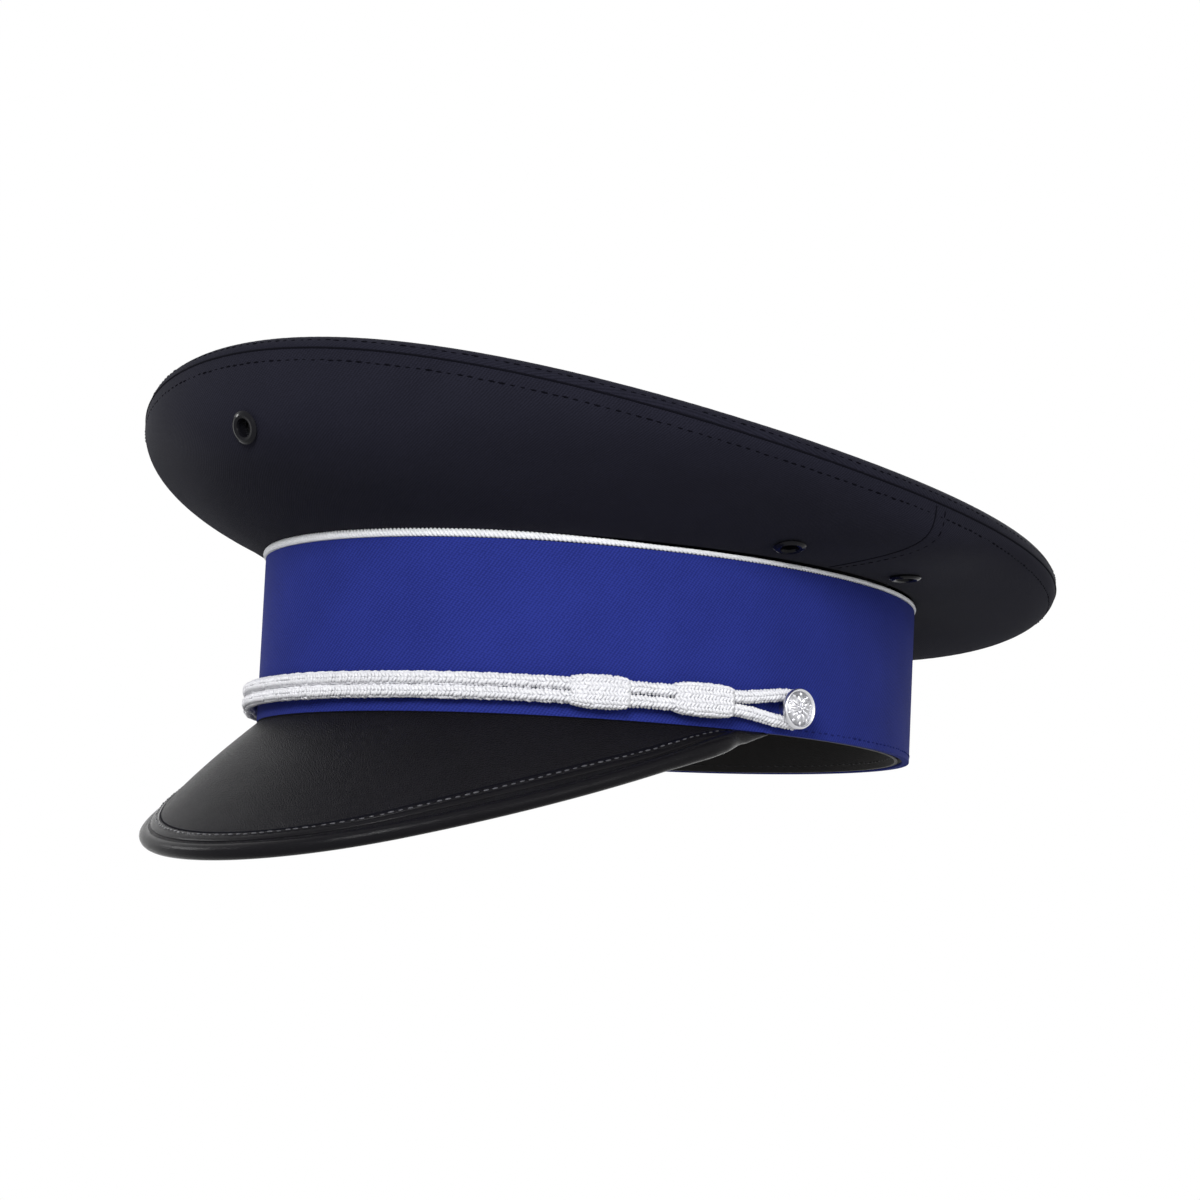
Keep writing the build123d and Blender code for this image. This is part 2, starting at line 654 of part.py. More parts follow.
def cord_path(level):
    """One run of the doubled cord: level is 1 for the upper run and -1 for the lower."""
    z = STRAP_HEIGHT + level * CORD_PITCH / 2
    end = KNOT_REAR_END - KNOT_OVERHANG
    middle = (end + JOIN_ANGLE) / 2
    left = [side_arc_point(CORD_STAND_OFF, angle, 1, z) for angle in (end, middle, JOIN_ANGLE)]
    right = [side_arc_point(CORD_STAND_OFF, angle, -1, z) for angle in (JOIN_ANGLE, middle, end)]
    front = Vector(0, -BAND_HALF_LENGTH - CORD_STAND_OFF, z)
    arcs = [
        Edge.make_three_point_arc(*left),
        Edge.make_three_point_arc(left[-1], front, right[0]),
        Edge.make_three_point_arc(*right),
    ]
    return Wire([*loop_route(level, 1).edges(), *arcs, *loop_route(level, -1).edges()])


def loop_route(level, side):
    """From the knots, over the button's post and half way down behind it."""
    z = STRAP_HEIGHT + level * CORD_PITCH / 2
    end = KNOT_REAR_END - KNOT_OVERHANG
    start = side_arc_point(CORD_STAND_OFF, end, side, z)
    heading = Vector(side * math.sin(math.radians(end)), math.cos(math.radians(end)), 0)
    ease = start + heading * LOOP_EASE
    rear_y = BUTTON_Y + LOOP_BEHIND_POST
    rear_angle = math.degrees(math.asin(-rear_y / (SIDE_RADIUS + CORD_STAND_OFF)))
    corner = side_arc_point(CORD_STAND_OFF + 0.2, rear_angle, side, STRAP_HEIGHT + level * LOOP_HALF_HEIGHT)
    last = Vector(corner.X, corner.Y, STRAP_HEIGHT)
    return FilletPolyline(start, ease, corner, last, radius=[14.0, LOOP_BEND])


def chin_cord_run(level):
    path = cord_path(level)
    start = Plane(path @ 0, z_dir=path % 0)
    return only_solid(Solid.sweep(Face(Wire.make_circle(CORD_RADIUS, start)), path=path))


def knot(side, low_angle, high_angle):
    """A plaited knot: a rounded sleeve round both runs of the cord."""
    low, high = SIDE_RADIUS + KNOT_INNER, SIDE_RADIUS + KNOT_OUTER
    half = KNOT_HEIGHT / 2
    outline = Wire.make_polygon([(low, -half), (high, -half), (high, half), (low, half)])
    sleeve = arc_turned(outline.fillet_2d(KNOT_CORNER, outline.vertices()), low_angle, high_angle)
    for level in (1, -1):
        centre = Plane((SIDE_RADIUS + CORD_STAND_OFF, level * CORD_PITCH / 2, 0))
        bore = Wire.make_circle(CORD_RADIUS + RUNNING_GAP, centre)
        sleeve = sleeve - arc_turned(bore, low_angle - 1, high_angle + 1)
    placed = sleeve.moved(Location((-SIDE_CENTRE, 0, STRAP_HEIGHT)))
    if side < 0:
        placed = placed.mirror(Plane.YZ)
    return only_solid(placed)


def arc_turned(outline, low_angle, high_angle):
    """An outline of (radius, height), turned about Z from one angle to another, towards -Y."""
    upright = Plane((0, 0, 0), x_dir=(1, 0, 0), z_dir=(0, -1, 0)).location * Face(outline)
    start = upright.rotate(Axis.Z, -low_angle)
    return Solid.revolve(start, high_angle - low_angle, Axis((0, 0, 0), (0, 0, -1)))


# ---------------------------------------------------------------- buttons

BUTTON_ANGLE = math.degrees(math.asin(-BUTTON_Y / SIDE_RADIUS))


def button_plane(side):
    """The plane that touches the band's face at a button, facing outwards."""
    place = side_arc_point(0, BUTTON_ANGLE, side, STRAP_HEIGHT)
    normal = place - Vector(-side * SIDE_CENTRE, 0, STRAP_HEIGHT)
    return Plane(place, x_dir=(0, 0, 1), z_dir=normal.normalized())


def button_face(side):
    """The domed shell with a raised rim."""
    low, rim = BUTTON_STAND_OFF, BUTTON_RADIUS
    dome = low + BUTTON_HEIGHT
    return turned([
        (0, dome - BUTTON_SHELL), (rim * 0.5, dome - BUTTON_SHELL - 0.35), (rim - 1.3, low + 1.2),
        (rim - BUTTON_SHELL, low + 0.5), (rim - 0.3, low), (rim, low + 0.5), (rim, low + 1.5),
        (rim - 0.5, low + 1.9), (rim - 1.0, low + 1.6), (rim * 0.5, dome - 0.35), (0, dome),
    ], button_plane(side))


def button_back(side):
    """The plate closed into the shell from behind."""
    low = BUTTON_STAND_OFF
    return turned([
        (0, low), (BUTTON_RADIUS - 1.0, low), (BUTTON_RADIUS - 0.65, low + 0.45), (0, low + 0.45),
    ], button_plane(side))


def button_shank(side):
    """The post through the band, cross-drilled at its inner end for the pin."""
    inner = -(BAND_CLOTH + STIFFENER + HIDDEN_GAP - 0.1)
    place = button_plane(side)
    post = Solid.make_cylinder(POST_RADIUS, BUTTON_STAND_OFF - inner, place.offset(inner))
    return only_solid(post - pin_hole(side, PIN_RADIUS))


def pin_hole(side, radius):
    place = button_plane(side).offset(-(BAND_CLOTH + STIFFENER + WASHER_THICKNESS + 0.2 + PIN_RADIUS))
    across = Plane(place.origin - place.x_dir * (PIN_LENGTH / 2), z_dir=place.x_dir)
    return Solid.make_cylinder(radius, PIN_LENGTH, across)


def button_pin(side):
    return pin_hole(side, PIN_RADIUS)


def button_washer(side):
    top = STIFFENER_IN - 0.1
    bore = POST_RADIUS + RUNNING_GAP
    return turned([
        (bore, top - WASHER_THICKNESS), (WASHER_RADIUS, top - WASHER_THICKNESS),
        (WASHER_RADIUS, top), (bore, top),
    ], button_plane(side))


# ---------------------------------------------------------------- the whole cap

def cap_pieces():
    pieces = {
        "crown_top_panel": crown_top_panel(),
        "top_padding": top_padding(),
        "crown_grommet": crown_grommet(),
        "grommet_ferrule": grommet_ferrule(),
        "front_stay": front_stay(),
        "lining_side": lining_side(),
        "lining_top": lining_top(),
        "sweat_shield": sweat_shield(),
        "band_cloth": band_cloth(),
        "band_stiffener": band_stiffener(),
        "band_piping": band_piping(),
        "sweatband": sweatband(),
        "forehead_pad": forehead_pad(),
        "visor_cover": visor_cover(),
        "visor_board": visor_board(),
        "visor_underlining": visor_underlining(),
        "visor_binding": visor_binding(),
        "chin_cord_upper": chin_cord_run(1),
        "chin_cord_lower": chin_cord_run(-1),
    }
    front = crown_side_panel(-SIDE_SEAM_TURN + SEAM_SLIT, SIDE_SEAM_TURN - SEAM_SLIT)
    back = crown_side_panel(SIDE_SEAM_TURN + SEAM_SLIT, 360 - SIDE_SEAM_TURN - SEAM_SLIT)
    pieces["crown_front_panel"] = pierced(front, ("badge", "vent_left_front", "vent_right_front"))
    pieces["crown_back_panel"] = pierced(back, ("vent_left_back", "vent_right_back"))
    for name, turn, share in EYELETS:
        pieces[f"{name}_eyelet"] = eyelet(turn, share)
        pieces[f"{name}_washer"] = eyelet_washer(turn, share)
    for hand, side in (("left", 1), ("right", -1)):
        for place, low, high in KNOTS:
            pieces[f"cord_knot_{hand}_{place}"] = knot(side, low, high)
        pieces[f"button_face_{hand}"] = button_face(side)
        pieces[f"button_back_{hand}"] = button_back(side)
        pieces[f"button_shank_{hand}"] = button_shank(side)
        pieces[f"button_pin_{hand}"] = button_pin(side)
        pieces[f"button_washer_{hand}"] = button_washer(side)
    return pieces


os.makedirs("parts", exist_ok=True)
for node, solid in cap_pieces().items():
    export_step(solid, f"parts/{node}.step")
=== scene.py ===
"""Looks of a peaked dress cap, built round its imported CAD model."""

import json
import math
from contextlib import contextmanager

import bpy
import numpy as np
from bpy.props import FloatProperty, FloatVectorProperty, IntProperty, PointerProperty
from mathutils import Matrix, Vector
from mathutils.bvhtree import BVHTree


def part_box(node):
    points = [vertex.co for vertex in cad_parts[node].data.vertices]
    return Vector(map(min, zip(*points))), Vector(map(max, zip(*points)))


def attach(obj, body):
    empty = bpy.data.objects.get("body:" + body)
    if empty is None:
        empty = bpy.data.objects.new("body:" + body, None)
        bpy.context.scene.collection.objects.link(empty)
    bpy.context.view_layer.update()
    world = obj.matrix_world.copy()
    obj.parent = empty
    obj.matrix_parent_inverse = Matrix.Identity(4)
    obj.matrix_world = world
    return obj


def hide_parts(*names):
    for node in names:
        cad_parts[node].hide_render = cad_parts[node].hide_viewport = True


bl_info = {
    "name": "Peaked Dress Cap",
    "version": (1, 0, 0),
    "blender": (4, 5, 0),
    "location": "3D View > Sidebar > Peaked Cap",
    "description": "Cloth, leather, braid and stitching of a peaked dress cap",
    "category": "Object",
}

MM = 0.001
SIDES = {"left": 1, "right": -1}
ALONG_X = (0, math.pi / 2, 0)   # the turn that lays a primitive's axis along X

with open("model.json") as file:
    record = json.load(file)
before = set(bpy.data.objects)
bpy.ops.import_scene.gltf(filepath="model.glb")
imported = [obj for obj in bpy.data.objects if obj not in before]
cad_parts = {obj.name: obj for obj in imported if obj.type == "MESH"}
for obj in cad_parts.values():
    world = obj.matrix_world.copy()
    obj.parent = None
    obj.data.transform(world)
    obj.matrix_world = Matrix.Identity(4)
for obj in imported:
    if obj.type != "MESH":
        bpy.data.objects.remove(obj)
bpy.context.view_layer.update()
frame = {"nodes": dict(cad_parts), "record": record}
NODES = frame["nodes"]
FINISHES = {m["slot"]: m for m in frame["record"]["materials"]}


def slot_colour(slot):
    """The record's colour of a material slot."""
    return tuple(FINISHES[slot]["base_color"][:3])


# ---------------------------------------------------------------- the cap's own lines

BAND_HALF_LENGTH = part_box("band_cloth")[1].y
BAND_HALF_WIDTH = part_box("band_cloth")[1].x
BAND_END_RADIUS = 75 * MM
BAND_TOP_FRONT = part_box("band_cloth")[1].z
BAND_TOP_BACK = 43.6 * MM
END_CENTRE = BAND_HALF_LENGTH - BAND_END_RADIUS
SIDE_RADIUS = (BAND_HALF_WIDTH**2 + END_CENTRE**2 - BAND_END_RADIUS**2) / (
    2 * (BAND_HALF_WIDTH - BAND_END_RADIUS)
)
SIDE_CENTRE = SIDE_RADIUS - BAND_HALF_WIDTH
JOIN_ANGLE = math.atan2(END_CENTRE, SIDE_CENTRE)

RIM_HALF_LENGTH = 145.1 * MM
RIM_HALF_WIDTH = 123.5 * MM
RIM_CENTRE = Vector((0, 4.1 * MM, 68.9 * MM))
CROWN_TILT = math.radians(8.9)
CROWN_UP = Vector((0, math.sin(CROWN_TILT), math.cos(CROWN_TILT)))
CROWN_BACK = Vector((0, math.cos(CROWN_TILT), -math.sin(CROWN_TILT)))
SADDLE = 3.14 * MM
RIM_WAVE = 1.2 * MM
SIDE_SEAM_TURN = 88.0
STRIP_AT_SIDE = 8 * MM          # the crown's upright strip, at the side seams
SEAM_STEP = 1 * MM
PIPING_TOP = 2.3 * MM
PIPING_SET_IN = 0.3 * MM
PIPING_RADIUS = 1.0 * MM
PIPING_STEPS = 480
PLUMP_PLACES = (0, 0.5, 0.8, 0.95, 1)       # from the back of the cap (0) to its front (1)
PLUMP_SIZES = (0.75, 0.7, 0.78, 1.2, 1.25)

VISOR_CORNER_Y = -19.8 * MM
CORNER_CLEAR = 3 * MM           # from the visor's corners to the hem's and the seat's lines
VISOR_SLOPE = math.radians(18.95)
VISOR_LENGTH = 133.4 * MM
VISOR_TIP_RADIUS = 66 * MM
VISOR_TIP_SPAN = math.radians(50)
VISOR_RISE = 2.1 * MM
VISOR_SWEEP = 110               # how far the flange is followed from the tip, in degrees
BINDING_RADIUS = 2.2 * MM
FLANGE_INSET = 1.6 * BINDING_RADIUS     # the flange's outer edge, in from the visor's edge
FLANGE_THICKNESS = 0.8 * MM
CREASE_GAP = 1.1 * MM           # between the flange's inner edge and the painted shadow line in the leather's fold
NARROW_TURNS, NARROW_SHARES = (60, 90), (1, 0.72)   # the flange draws in towards the corners
# The binding's bead: turn in degrees, fullness, and the middle's inset in millimetres
BEAD_TURNS = (80, 83.5, 86, 88, 90, 92, 94, 96)
BEAD_SIZES = (1, 1.08, 1.16, 1.14, 1.03, 0.79, 0.41, 0.06)
BEAD_INSETS = (2.2, 1.7, 1.35, 1.4, 2.5, 2.1, 1.6, 1.3)
VISOR_FORWARD = Vector((0, -math.cos(VISOR_SLOPE), -math.sin(VISOR_SLOPE)))
VISOR_UP = Vector((0, -math.sin(VISOR_SLOPE), math.cos(VISOR_SLOPE)))

CORD_RADIUS = 1.85 * MM
CORD_PITCH = 3.6 * MM
CORD_STAND_OFF = 2.65 * MM
STRAP_HEIGHT = 6.8 * MM
KNOTS = {"front": (31.9, 39.2), "rear": (17.5, 25.6)}
KNOT_HEIGHT = 9.4 * MM
KNOT_INNER = 0.5 * MM
KNOT_OUTER = 5.4 * MM
KNOT_CORNER = 2.4 * MM
KNOT_DRAW = 0.14                # how much a knot draws in at its ends
KNOT_STEPS, CORNER_STEPS = 24, 12       # points along a knot, and round a corner of its section
LOOP_HALF_HEIGHT = 3.75 * MM
LOOP_BEND = 3.5 * MM
LOOP_REAR_Y = -12.5 * MM
LOOP_STEPS, BEND_STEPS, ARC_STEPS = 24, 9, 360      # points along the parts of a cord's route
BUTTON_Y = -16.3 * MM
BUTTON_STAND_OFF = 5.3 * MM
BUTTON_RADIUS = 5.5 * MM

BUTTON_CUP = (                  # the cup with its rolled rim: radius, height
    (0.4 * MM, 0),
    (BUTTON_RADIUS - 0.6 * MM, 0),
    (BUTTON_RADIUS - 0.1 * MM, 0.4 * MM),
    (BUTTON_RADIUS, 0.8 * MM),
    (BUTTON_RADIUS, 1.5 * MM),
    (BUTTON_RADIUS - 0.15 * MM, 1.8 * MM),
    (BUTTON_RADIUS - 0.35 * MM, 1.9 * MM),
    (BUTTON_RADIUS - 0.55 * MM, 1.8 * MM),
    (BUTTON_RADIUS - 0.75 * MM, 1.35 * MM),
    (0.4 * MM, 1.4 * MM),
)
BUTTON_DOME = (                 # the domed field in the cup: radius, height
    (0.3 * MM, 1.2 * MM),
    (BUTTON_RADIUS - 0.9 * MM, 1.2 * MM),
    (BUTTON_RADIUS - 0.8 * MM, 1.4 * MM),
    (BUTTON_RADIUS * 0.5, 2.0 * MM),
    (0.3 * MM, 2.2 * MM),
)

HAND_SEED = 7                   # for the small unevenness of hand work
STRAND_LEAN = 52                # degrees that a braid's strands slant from its run
STRAND_THICKNESS = 1.1 * MM
PETAL_DROOP = 10                # degrees that a button's petals droop outwards
RAY_START = 30 * MM             # how far outside a surface the lines start that look for it

FLOOR_DEPTH = 0.3
LAMPS = (                       # name, place, size in metres, power in watts
    ("key", (0.85, -1.35, 0.6), 0.55, 22.5),
    ("side", (1.5, -0.1, 0.3), 0.6, 5),
    ("fill", (-1.4, -0.7, 0.6), 0.35, 6),
    ("top", (0.0, 0.2, 1.6), 1.4, 6),
    ("back", (-0.8, 1.4, 0.6), 1.2, 12),
)


def oval_spot(offset, direction, z=0.0):
    """A point on the band's outline, offset outwards, and the way outwards there."""
    heading = Vector((math.cos(direction), math.sin(direction), 0))
    c, s = abs(heading.x), abs(heading.y)
    join_x = SIDE_RADIUS * math.cos(JOIN_ANGLE) - SIDE_CENTRE
    join_y = SIDE_RADIUS * math.sin(JOIN_ANGLE)
    if s * join_x < c * join_y:
        radius = SIDE_RADIUS + offset
        centre = Vector((-math.copysign(SIDE_CENTRE, heading.x), 0, 0))
    else:
        radius = BAND_END_RADIUS + offset
        centre = Vector((0, math.copysign(END_CENTRE, heading.y), 0))
    along = heading.dot(centre)
    reach = along + math.sqrt(along**2 - centre.length_squared + radius**2)
    point = heading * reach
    outward = (point - centre).normalized()
    return Vector((point.x, point.y, z)), outward


def round_oval(offset, steps, z=0.0):
    """A closed route round the band, from the middle of its back."""
    directions = [math.tau * (i % steps) / steps + math.pi / 2 for i in range(steps + 1)]
    return [oval_spot(offset, direction, z) for direction in directions]


def half_oval(offset, start_y, way, z, steps=300):
    """A route from side to side of the band, round its back (way 1) or its front (way -1)."""
    start = math.atan2(start_y, BAND_HALF_WIDTH)
    sweep = way * math.pi - 2 * start
    return [oval_spot(offset, start + sweep * i / steps, z) for i in range(steps + 1)]


def side_spot(offset, angle, side, z):
    """A point at an angle from X on the band's side arc, and the way outwards there."""
    outward = Vector((side * math.cos(angle), -math.sin(angle), 0))
    centre = Vector((-side * SIDE_CENTRE, 0, z))
    return centre + outward * (SIDE_RADIUS + offset), outward


def band_top(y):
    """Height of the band's top edge."""
    share = (y + BAND_HALF_LENGTH) / (2 * BAND_HALF_LENGTH)
    return BAND_TOP_FRONT + (BAND_TOP_BACK - BAND_TOP_FRONT) * share


def rim_spot(turn):
    """A point on the crown's rim seam, 0 degrees in front, and the way outwards there."""
    angle = math.radians(turn)
    x, y = RIM_HALF_WIDTH * math.sin(angle), -RIM_HALF_LENGTH * math.cos(angle)
    across, along = math.sin(angle), math.cos(angle)
    rise = -2 * SADDLE * across**2 + RIM_WAVE * (4 * along**3 - 3 * along)
    point = RIM_CENTRE + Vector((x, 0, 0)) + CROWN_BACK * y + CROWN_UP * rise
    outward = Vector((x / RIM_HALF_WIDTH**2, 0, 0)) + CROWN_BACK * (y / RIM_HALF_LENGTH**2)
    return point, outward.normalized()


def visor_spot(turn, inset):
    """A point near the visor's edge, 0 degrees at the tip, and the way outwards there."""
    angle = math.radians(turn)
    x, forward, radius = 0.0, VISOR_LENGTH - VISOR_TIP_RADIUS, VISOR_TIP_RADIUS - inset
    corner, _ = oval_spot(0, math.atan2(VISOR_CORNER_Y, BAND_HALF_WIDTH))
    span = VISOR_TIP_SPAN
    flank = (corner.x**2 + forward**2 - VISOR_TIP_RADIUS**2) / (
        2 * (VISOR_TIP_RADIUS - corner.x * math.sin(span) + forward * math.cos(span))
    )
    if abs(angle) > span:
        x -= math.copysign(flank * math.sin(span), angle)
        forward -= flank * math.cos(span)
        radius += flank
    x += radius * math.sin(angle)
    forward += radius * math.cos(angle)
    start = Vector((x, VISOR_CORNER_Y, 0))
    outward = Vector((math.sin(angle), 0, 0)) + VISOR_FORWARD * math.cos(angle)
    return start + VISOR_FORWARD * forward + VISOR_UP * VISOR_RISE, outward


def skin(*names):
    """A search tree of the surfaces of some CAD nodes."""
    points, faces = [], []
    for name in names:
        mesh, first = NODES[name].data, len(points)
        points += [v.co.copy() for v in mesh.vertices]
        faces += [[first + i for i in p.vertices] for p in mesh.polygons]
    return BVHTree.FromPolygons(points, faces)


def land(tree, start, heading):
    """Where a line from start first meets a surface, and the surface's outward normal."""
    point, normal, _, _ = tree.ray_cast(start, heading)
    if point is None:
        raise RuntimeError(f"nothing lies from {start} along {heading}")
    if normal.dot(heading) > 0:
        normal.negate()
    return point, normal


# ---------------------------------------------------------------- modelling helpers


def only(piece):
    """Selects one piece and nothing else."""
    bpy.ops.object.select_all(action="DESELECT")
    piece.select_set(True)
    bpy.context.view_layer.objects.active = piece


def settled(piece):
    """Puts a piece's place, turn and size into its mesh."""
    only(piece)
    bpy.ops.object.transform_apply(location=True, rotation=True, scale=True)
    return piece


def turn_to(*axes):
    """The turn that takes X, Y and Z to three directions."""
    return Matrix(axes).transposed().to_4x4()


def primitive(kind, **place):
    """A new primitive at its size and place, alone in the selection."""
    bpy.ops.object.select_all(action="DESELECT")
    getattr(bpy.ops.mesh, f"primitive_{kind}_add")(**place)
    return settled(bpy.context.object)


def modified(piece, kind, **values):
    """Adds a modifier, sets it and applies it."""
    only(piece)
    bpy.ops.object.modifier_add(type=kind)
    modifier = piece.modifiers[-1]
    for name, value in values.items():
        setattr(modifier, name, value)
    bpy.ops.object.modifier_apply(modifier=modifier.name)
    return piece


def joined(pieces):
    """Several pieces made one."""
    bpy.ops.object.select_all(action="DESELECT")
    for piece in pieces:
        piece.select_set(True)
    bpy.context.view_layer.objects.active = pieces[0]
    if len(pieces) > 1:
        bpy.ops.object.join()
    return bpy.context.object


def copied(piece, places):
    """Copies of a piece at each of some places, made one; the piece itself goes."""
    made = []
    for place in places:
        twin = piece.copy()
        twin.data = piece.data.copy()
        bpy.context.scene.collection.objects.link(twin)
        twin.matrix_world = place
        made.append(twin)
    bpy.data.objects.remove(piece)
    return settled(joined(made))


def repeated(piece, count, pitch):
    """A piece repeated along X."""
    return modified(piece, "ARRAY", count=count, use_relative_offset=False,
                    use_constant_offset=True, constant_offset_displace=(pitch, 0, 0),
                    use_merge_vertices=False)


@contextmanager
def edit_mode(piece):
    """Edit mode on one piece, with all of it selected."""
    only(piece)
    bpy.ops.object.mode_set(mode="EDIT")
    bpy.ops.mesh.select_all(action="SELECT")
    yield
    bpy.ops.object.mode_set(mode="OBJECT")


def closed_up(piece, distance=1e-6):
    """Merges doubles and turns the faces outwards."""
    with edit_mode(piece):
        bpy.ops.mesh.remove_doubles(threshold=distance)
        bpy.ops.mesh.normals_make_consistent(inside=False)
    return piece


def ends_closed(piece):
    """Fills a piece's open rims and turns the faces outwards."""
    with edit_mode(piece):
        bpy.ops.mesh.region_to_loop()
        bpy.ops.mesh.edge_face_add()
        bpy.ops.mesh.select_all(action="SELECT")
        bpy.ops.mesh.normals_make_consistent(inside=False)
    return piece


def route_length(route):
    """The length of a route, which is a list of points and the ways outwards there."""
    return sum((b[0] - a[0]).length for a, b in zip(route, route[1:]))


def is_loop(route):
    """Whether a route ends where it starts."""
    return (route[0][0] - route[-1][0]).length < 1e-7


def reaches(points):
    """How far along a chain of points each of them lies."""
    steps = np.linalg.norm(np.diff(points, axis=0), axis=1)
    return np.concatenate([[0], np.cumsum(steps)])


def unit(rows):
    """Rows made one long."""
    return rows / np.linalg.norm(rows, axis=1, keepdims=True)


def corners_of(piece):
    """A piece's vertices, in rows."""
    co = np.empty(len(piece.data.vertices) * 3)
    piece.data.vertices.foreach_get("co", co)
    return co.reshape(-1, 3)


def moved_to(piece, co):
    """A piece with its vertices moved to the given rows."""
    piece.data.vertices.foreach_set("co", co.astype(np.float32).ravel())
    piece.data.update()
    return piece


def lay_along(piece, route):
    """Bends a straight piece along a route: X runs along it, Y stands outwards, Z lies across."""
    points, outs = np.array([p for p, _ in route]), np.array([o for _, o in route])
    reach = reaches(points)
    tangents = np.gradient(points, reach, axis=0)
    if is_loop(route):
        tangents[0] = tangents[-1] = tangents[0] + tangents[-1]
    co = corners_of(piece)
    middle, tangent, out = (
        np.stack([np.interp(co[:, 0], reach, values[:, i]) for i in range(3)], 1)
        for values in (points, tangents, outs)
    )
    tangent = unit(tangent)
    out = unit(out - tangent * (out * tangent).sum(1, keepdims=True))
    across = np.cross(tangent, out)
    beyond = (np.maximum(co[:, 0] - reach[-1], 0) + np.minimum(co[:, 0], 0))[:, None]
    return moved_to(piece, middle + tangent * beyond + out * co[:, 1:2] + across * co[:, 2:3])


def swelled(piece, size_at, middle=0.0):
    """Resizes a straight piece's section by a size that depends on the place along X."""
    for vertex in piece.data.vertices:
        size = size_at(vertex.co.x)
        vertex.co.y = middle + (vertex.co.y - middle) * size
        vertex.co.z *= size
    return piece


def finished(piece, name, body, material, replaces=()):
    """Names a piece, shades it smooth, gives it its finish and puts it on its body."""
    piece.name = name
    piece.data.name = name
    only(piece)
    bpy.ops.object.shade_smooth()
    piece.data.materials.clear()
    piece.data.materials.append(material)
    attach(piece, body)
    if replaces:
        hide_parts(*replaces)
    return piece


def grain(length, width, thickness, segments=6, rings=4):
    """One lump of thread, lying along X."""
    piece = primitive("uv_sphere", segments=segments, ring_count=rings, radius=0.5,
                      rotation=ALONG_X)
    with edit_mode(piece):
        bpy.ops.transform.resize(value=(length, thickness, width), center_override=(0, 0, 0))
    return piece


def shaken(piece, each, shift, scales):
    """Moves and resizes a piece's repeated lumps a little, each by chance."""
    chance = np.random.default_rng(HAND_SEED)
    lumps = corners_of(piece).reshape(-1, each, 3)
    lumps += chance.normal(0, 1, (len(lumps), 1, 3)) * np.array(shift)
    middles = lumps.mean(axis=1, keepdims=True)
    lumps = middles + (lumps - middles) * chance.uniform(*scales, (len(lumps), 1, 1))
    return moved_to(piece, lumps)


def stitch_row(name, route, sizes, material, rise=0.0, scale=1.0):
    """A row of stitches along a route."""
    whole = route_length(route)
    count = max(1, round(whole / (sizes.stitch_pitch * scale)))
    pitch = whole / count
    piece = grain(sizes.stitch_length * scale, sizes.stitch_width, sizes.stitch_thickness)
    piece = copied(piece, [Matrix.Translation((pitch / 2, rise, 0))])
    each = len(piece.data.vertices)
    repeated(piece, count, pitch)
    shaken(piece, each, (0.12 * MM, 0.04 * MM, 0.06 * MM), (0.75, 1.2))
    lay_along(piece, route)
    return finished(piece, name, "cap", material)


def bead_line(name, route, radius, material, sink=0.0, step=2 * MM, flat=1.0, sides=8):
    """A round or flattened line along a route, such as a folded seam or a seam's painted shadow
    line.
    """
    whole = route_length(route)
    count = max(1, round(whole / step))
    pitch = whole / count
    piece = primitive("cylinder", vertices=sides, radius=radius, depth=pitch,
                      end_fill_type="NOTHING", rotation=ALONG_X, location=(pitch / 2, 0, 0))
    with edit_mode(piece):
        bpy.ops.transform.resize(value=(1, flat, 1), center_override=(0, 0, 0))
        bpy.ops.transform.translate(value=(0, -sink, 0))
    closed_up(repeated(piece, count, pitch))
    if is_loop(route):
        closed_up(lay_along(piece, route), 0.02 * MM)
    else:
        lay_along(ends_closed(piece), route)
    return finished(piece, name, "cap", material)


# ---------------------------------------------------------------- finishes


def put(tree, kind, inputs=None, **settings):
    """A new node, with its settings, and with values or links in its inputs."""
    node = tree.nodes.new(kind)
    for name, value in settings.items():
        setattr(node, name, value)
    for name, value in (inputs or {}).items():
        socket = node.inputs[name]
        if isinstance(value, bpy.types.NodeSocket):
            tree.links.new(value, socket)
        else:
            socket.default_value = value
    return node


def maths(tree, operation, *values):
    """The output of a Math node."""
    return put(tree, "ShaderNodeMath", dict(enumerate(values)), operation=operation).outputs[0]


def object_spot(tree):
    """The Object coordinates."""
    return put(tree, "ShaderNodeTexCoord").outputs["Object"]


def noise(tree, vector, scale, detail):
    """The outputs of a Noise node."""
    inputs = {"Vector": vector, "Scale": scale, "Detail": detail}
    return put(tree, "ShaderNodeTexNoise", inputs).outputs


def flat_vector(tree, x, y):
    """A vector from its X and Y."""
    return put(tree, "ShaderNodeCombineXYZ", {0: x, 1: y}).outputs[0]


def from_middle(tree, vector):
    """A vector's length."""
    return put(tree, "ShaderNodeVectorMath", {0: vector}, operation="LENGTH").outputs["Value"]


def wrapped_lines(tree, given):
    """Coordinates that run round the cap and up it, for cloth that goes round."""
    parts = put(tree, "ShaderNodeSeparateXYZ", {0: object_spot(tree)}).outputs
    turn = maths(tree, "ARCTAN2", parts["X"], maths(tree, "MULTIPLY", parts["Y"], -1.0))
    around = maths(tree, "MULTIPLY", turn, given["Radius"])
    reach = from_middle(tree, flat_vector(tree, parts["X"], parts["Y"]))
    return {"Vector": flat_vector(tree, around, maths(tree, "ADD", parts["Z"], reach))}


def level_lines(tree, _):
    """Coordinates for cloth that lies level and turns down over its edges."""
    parts = put(tree, "ShaderNodeSeparateXYZ", {0: object_spot(tree)}).outputs
    return {"Vector": flat_vector(tree, parts["X"], maths(tree, "ADD", parts["Y"], parts["Z"]))}


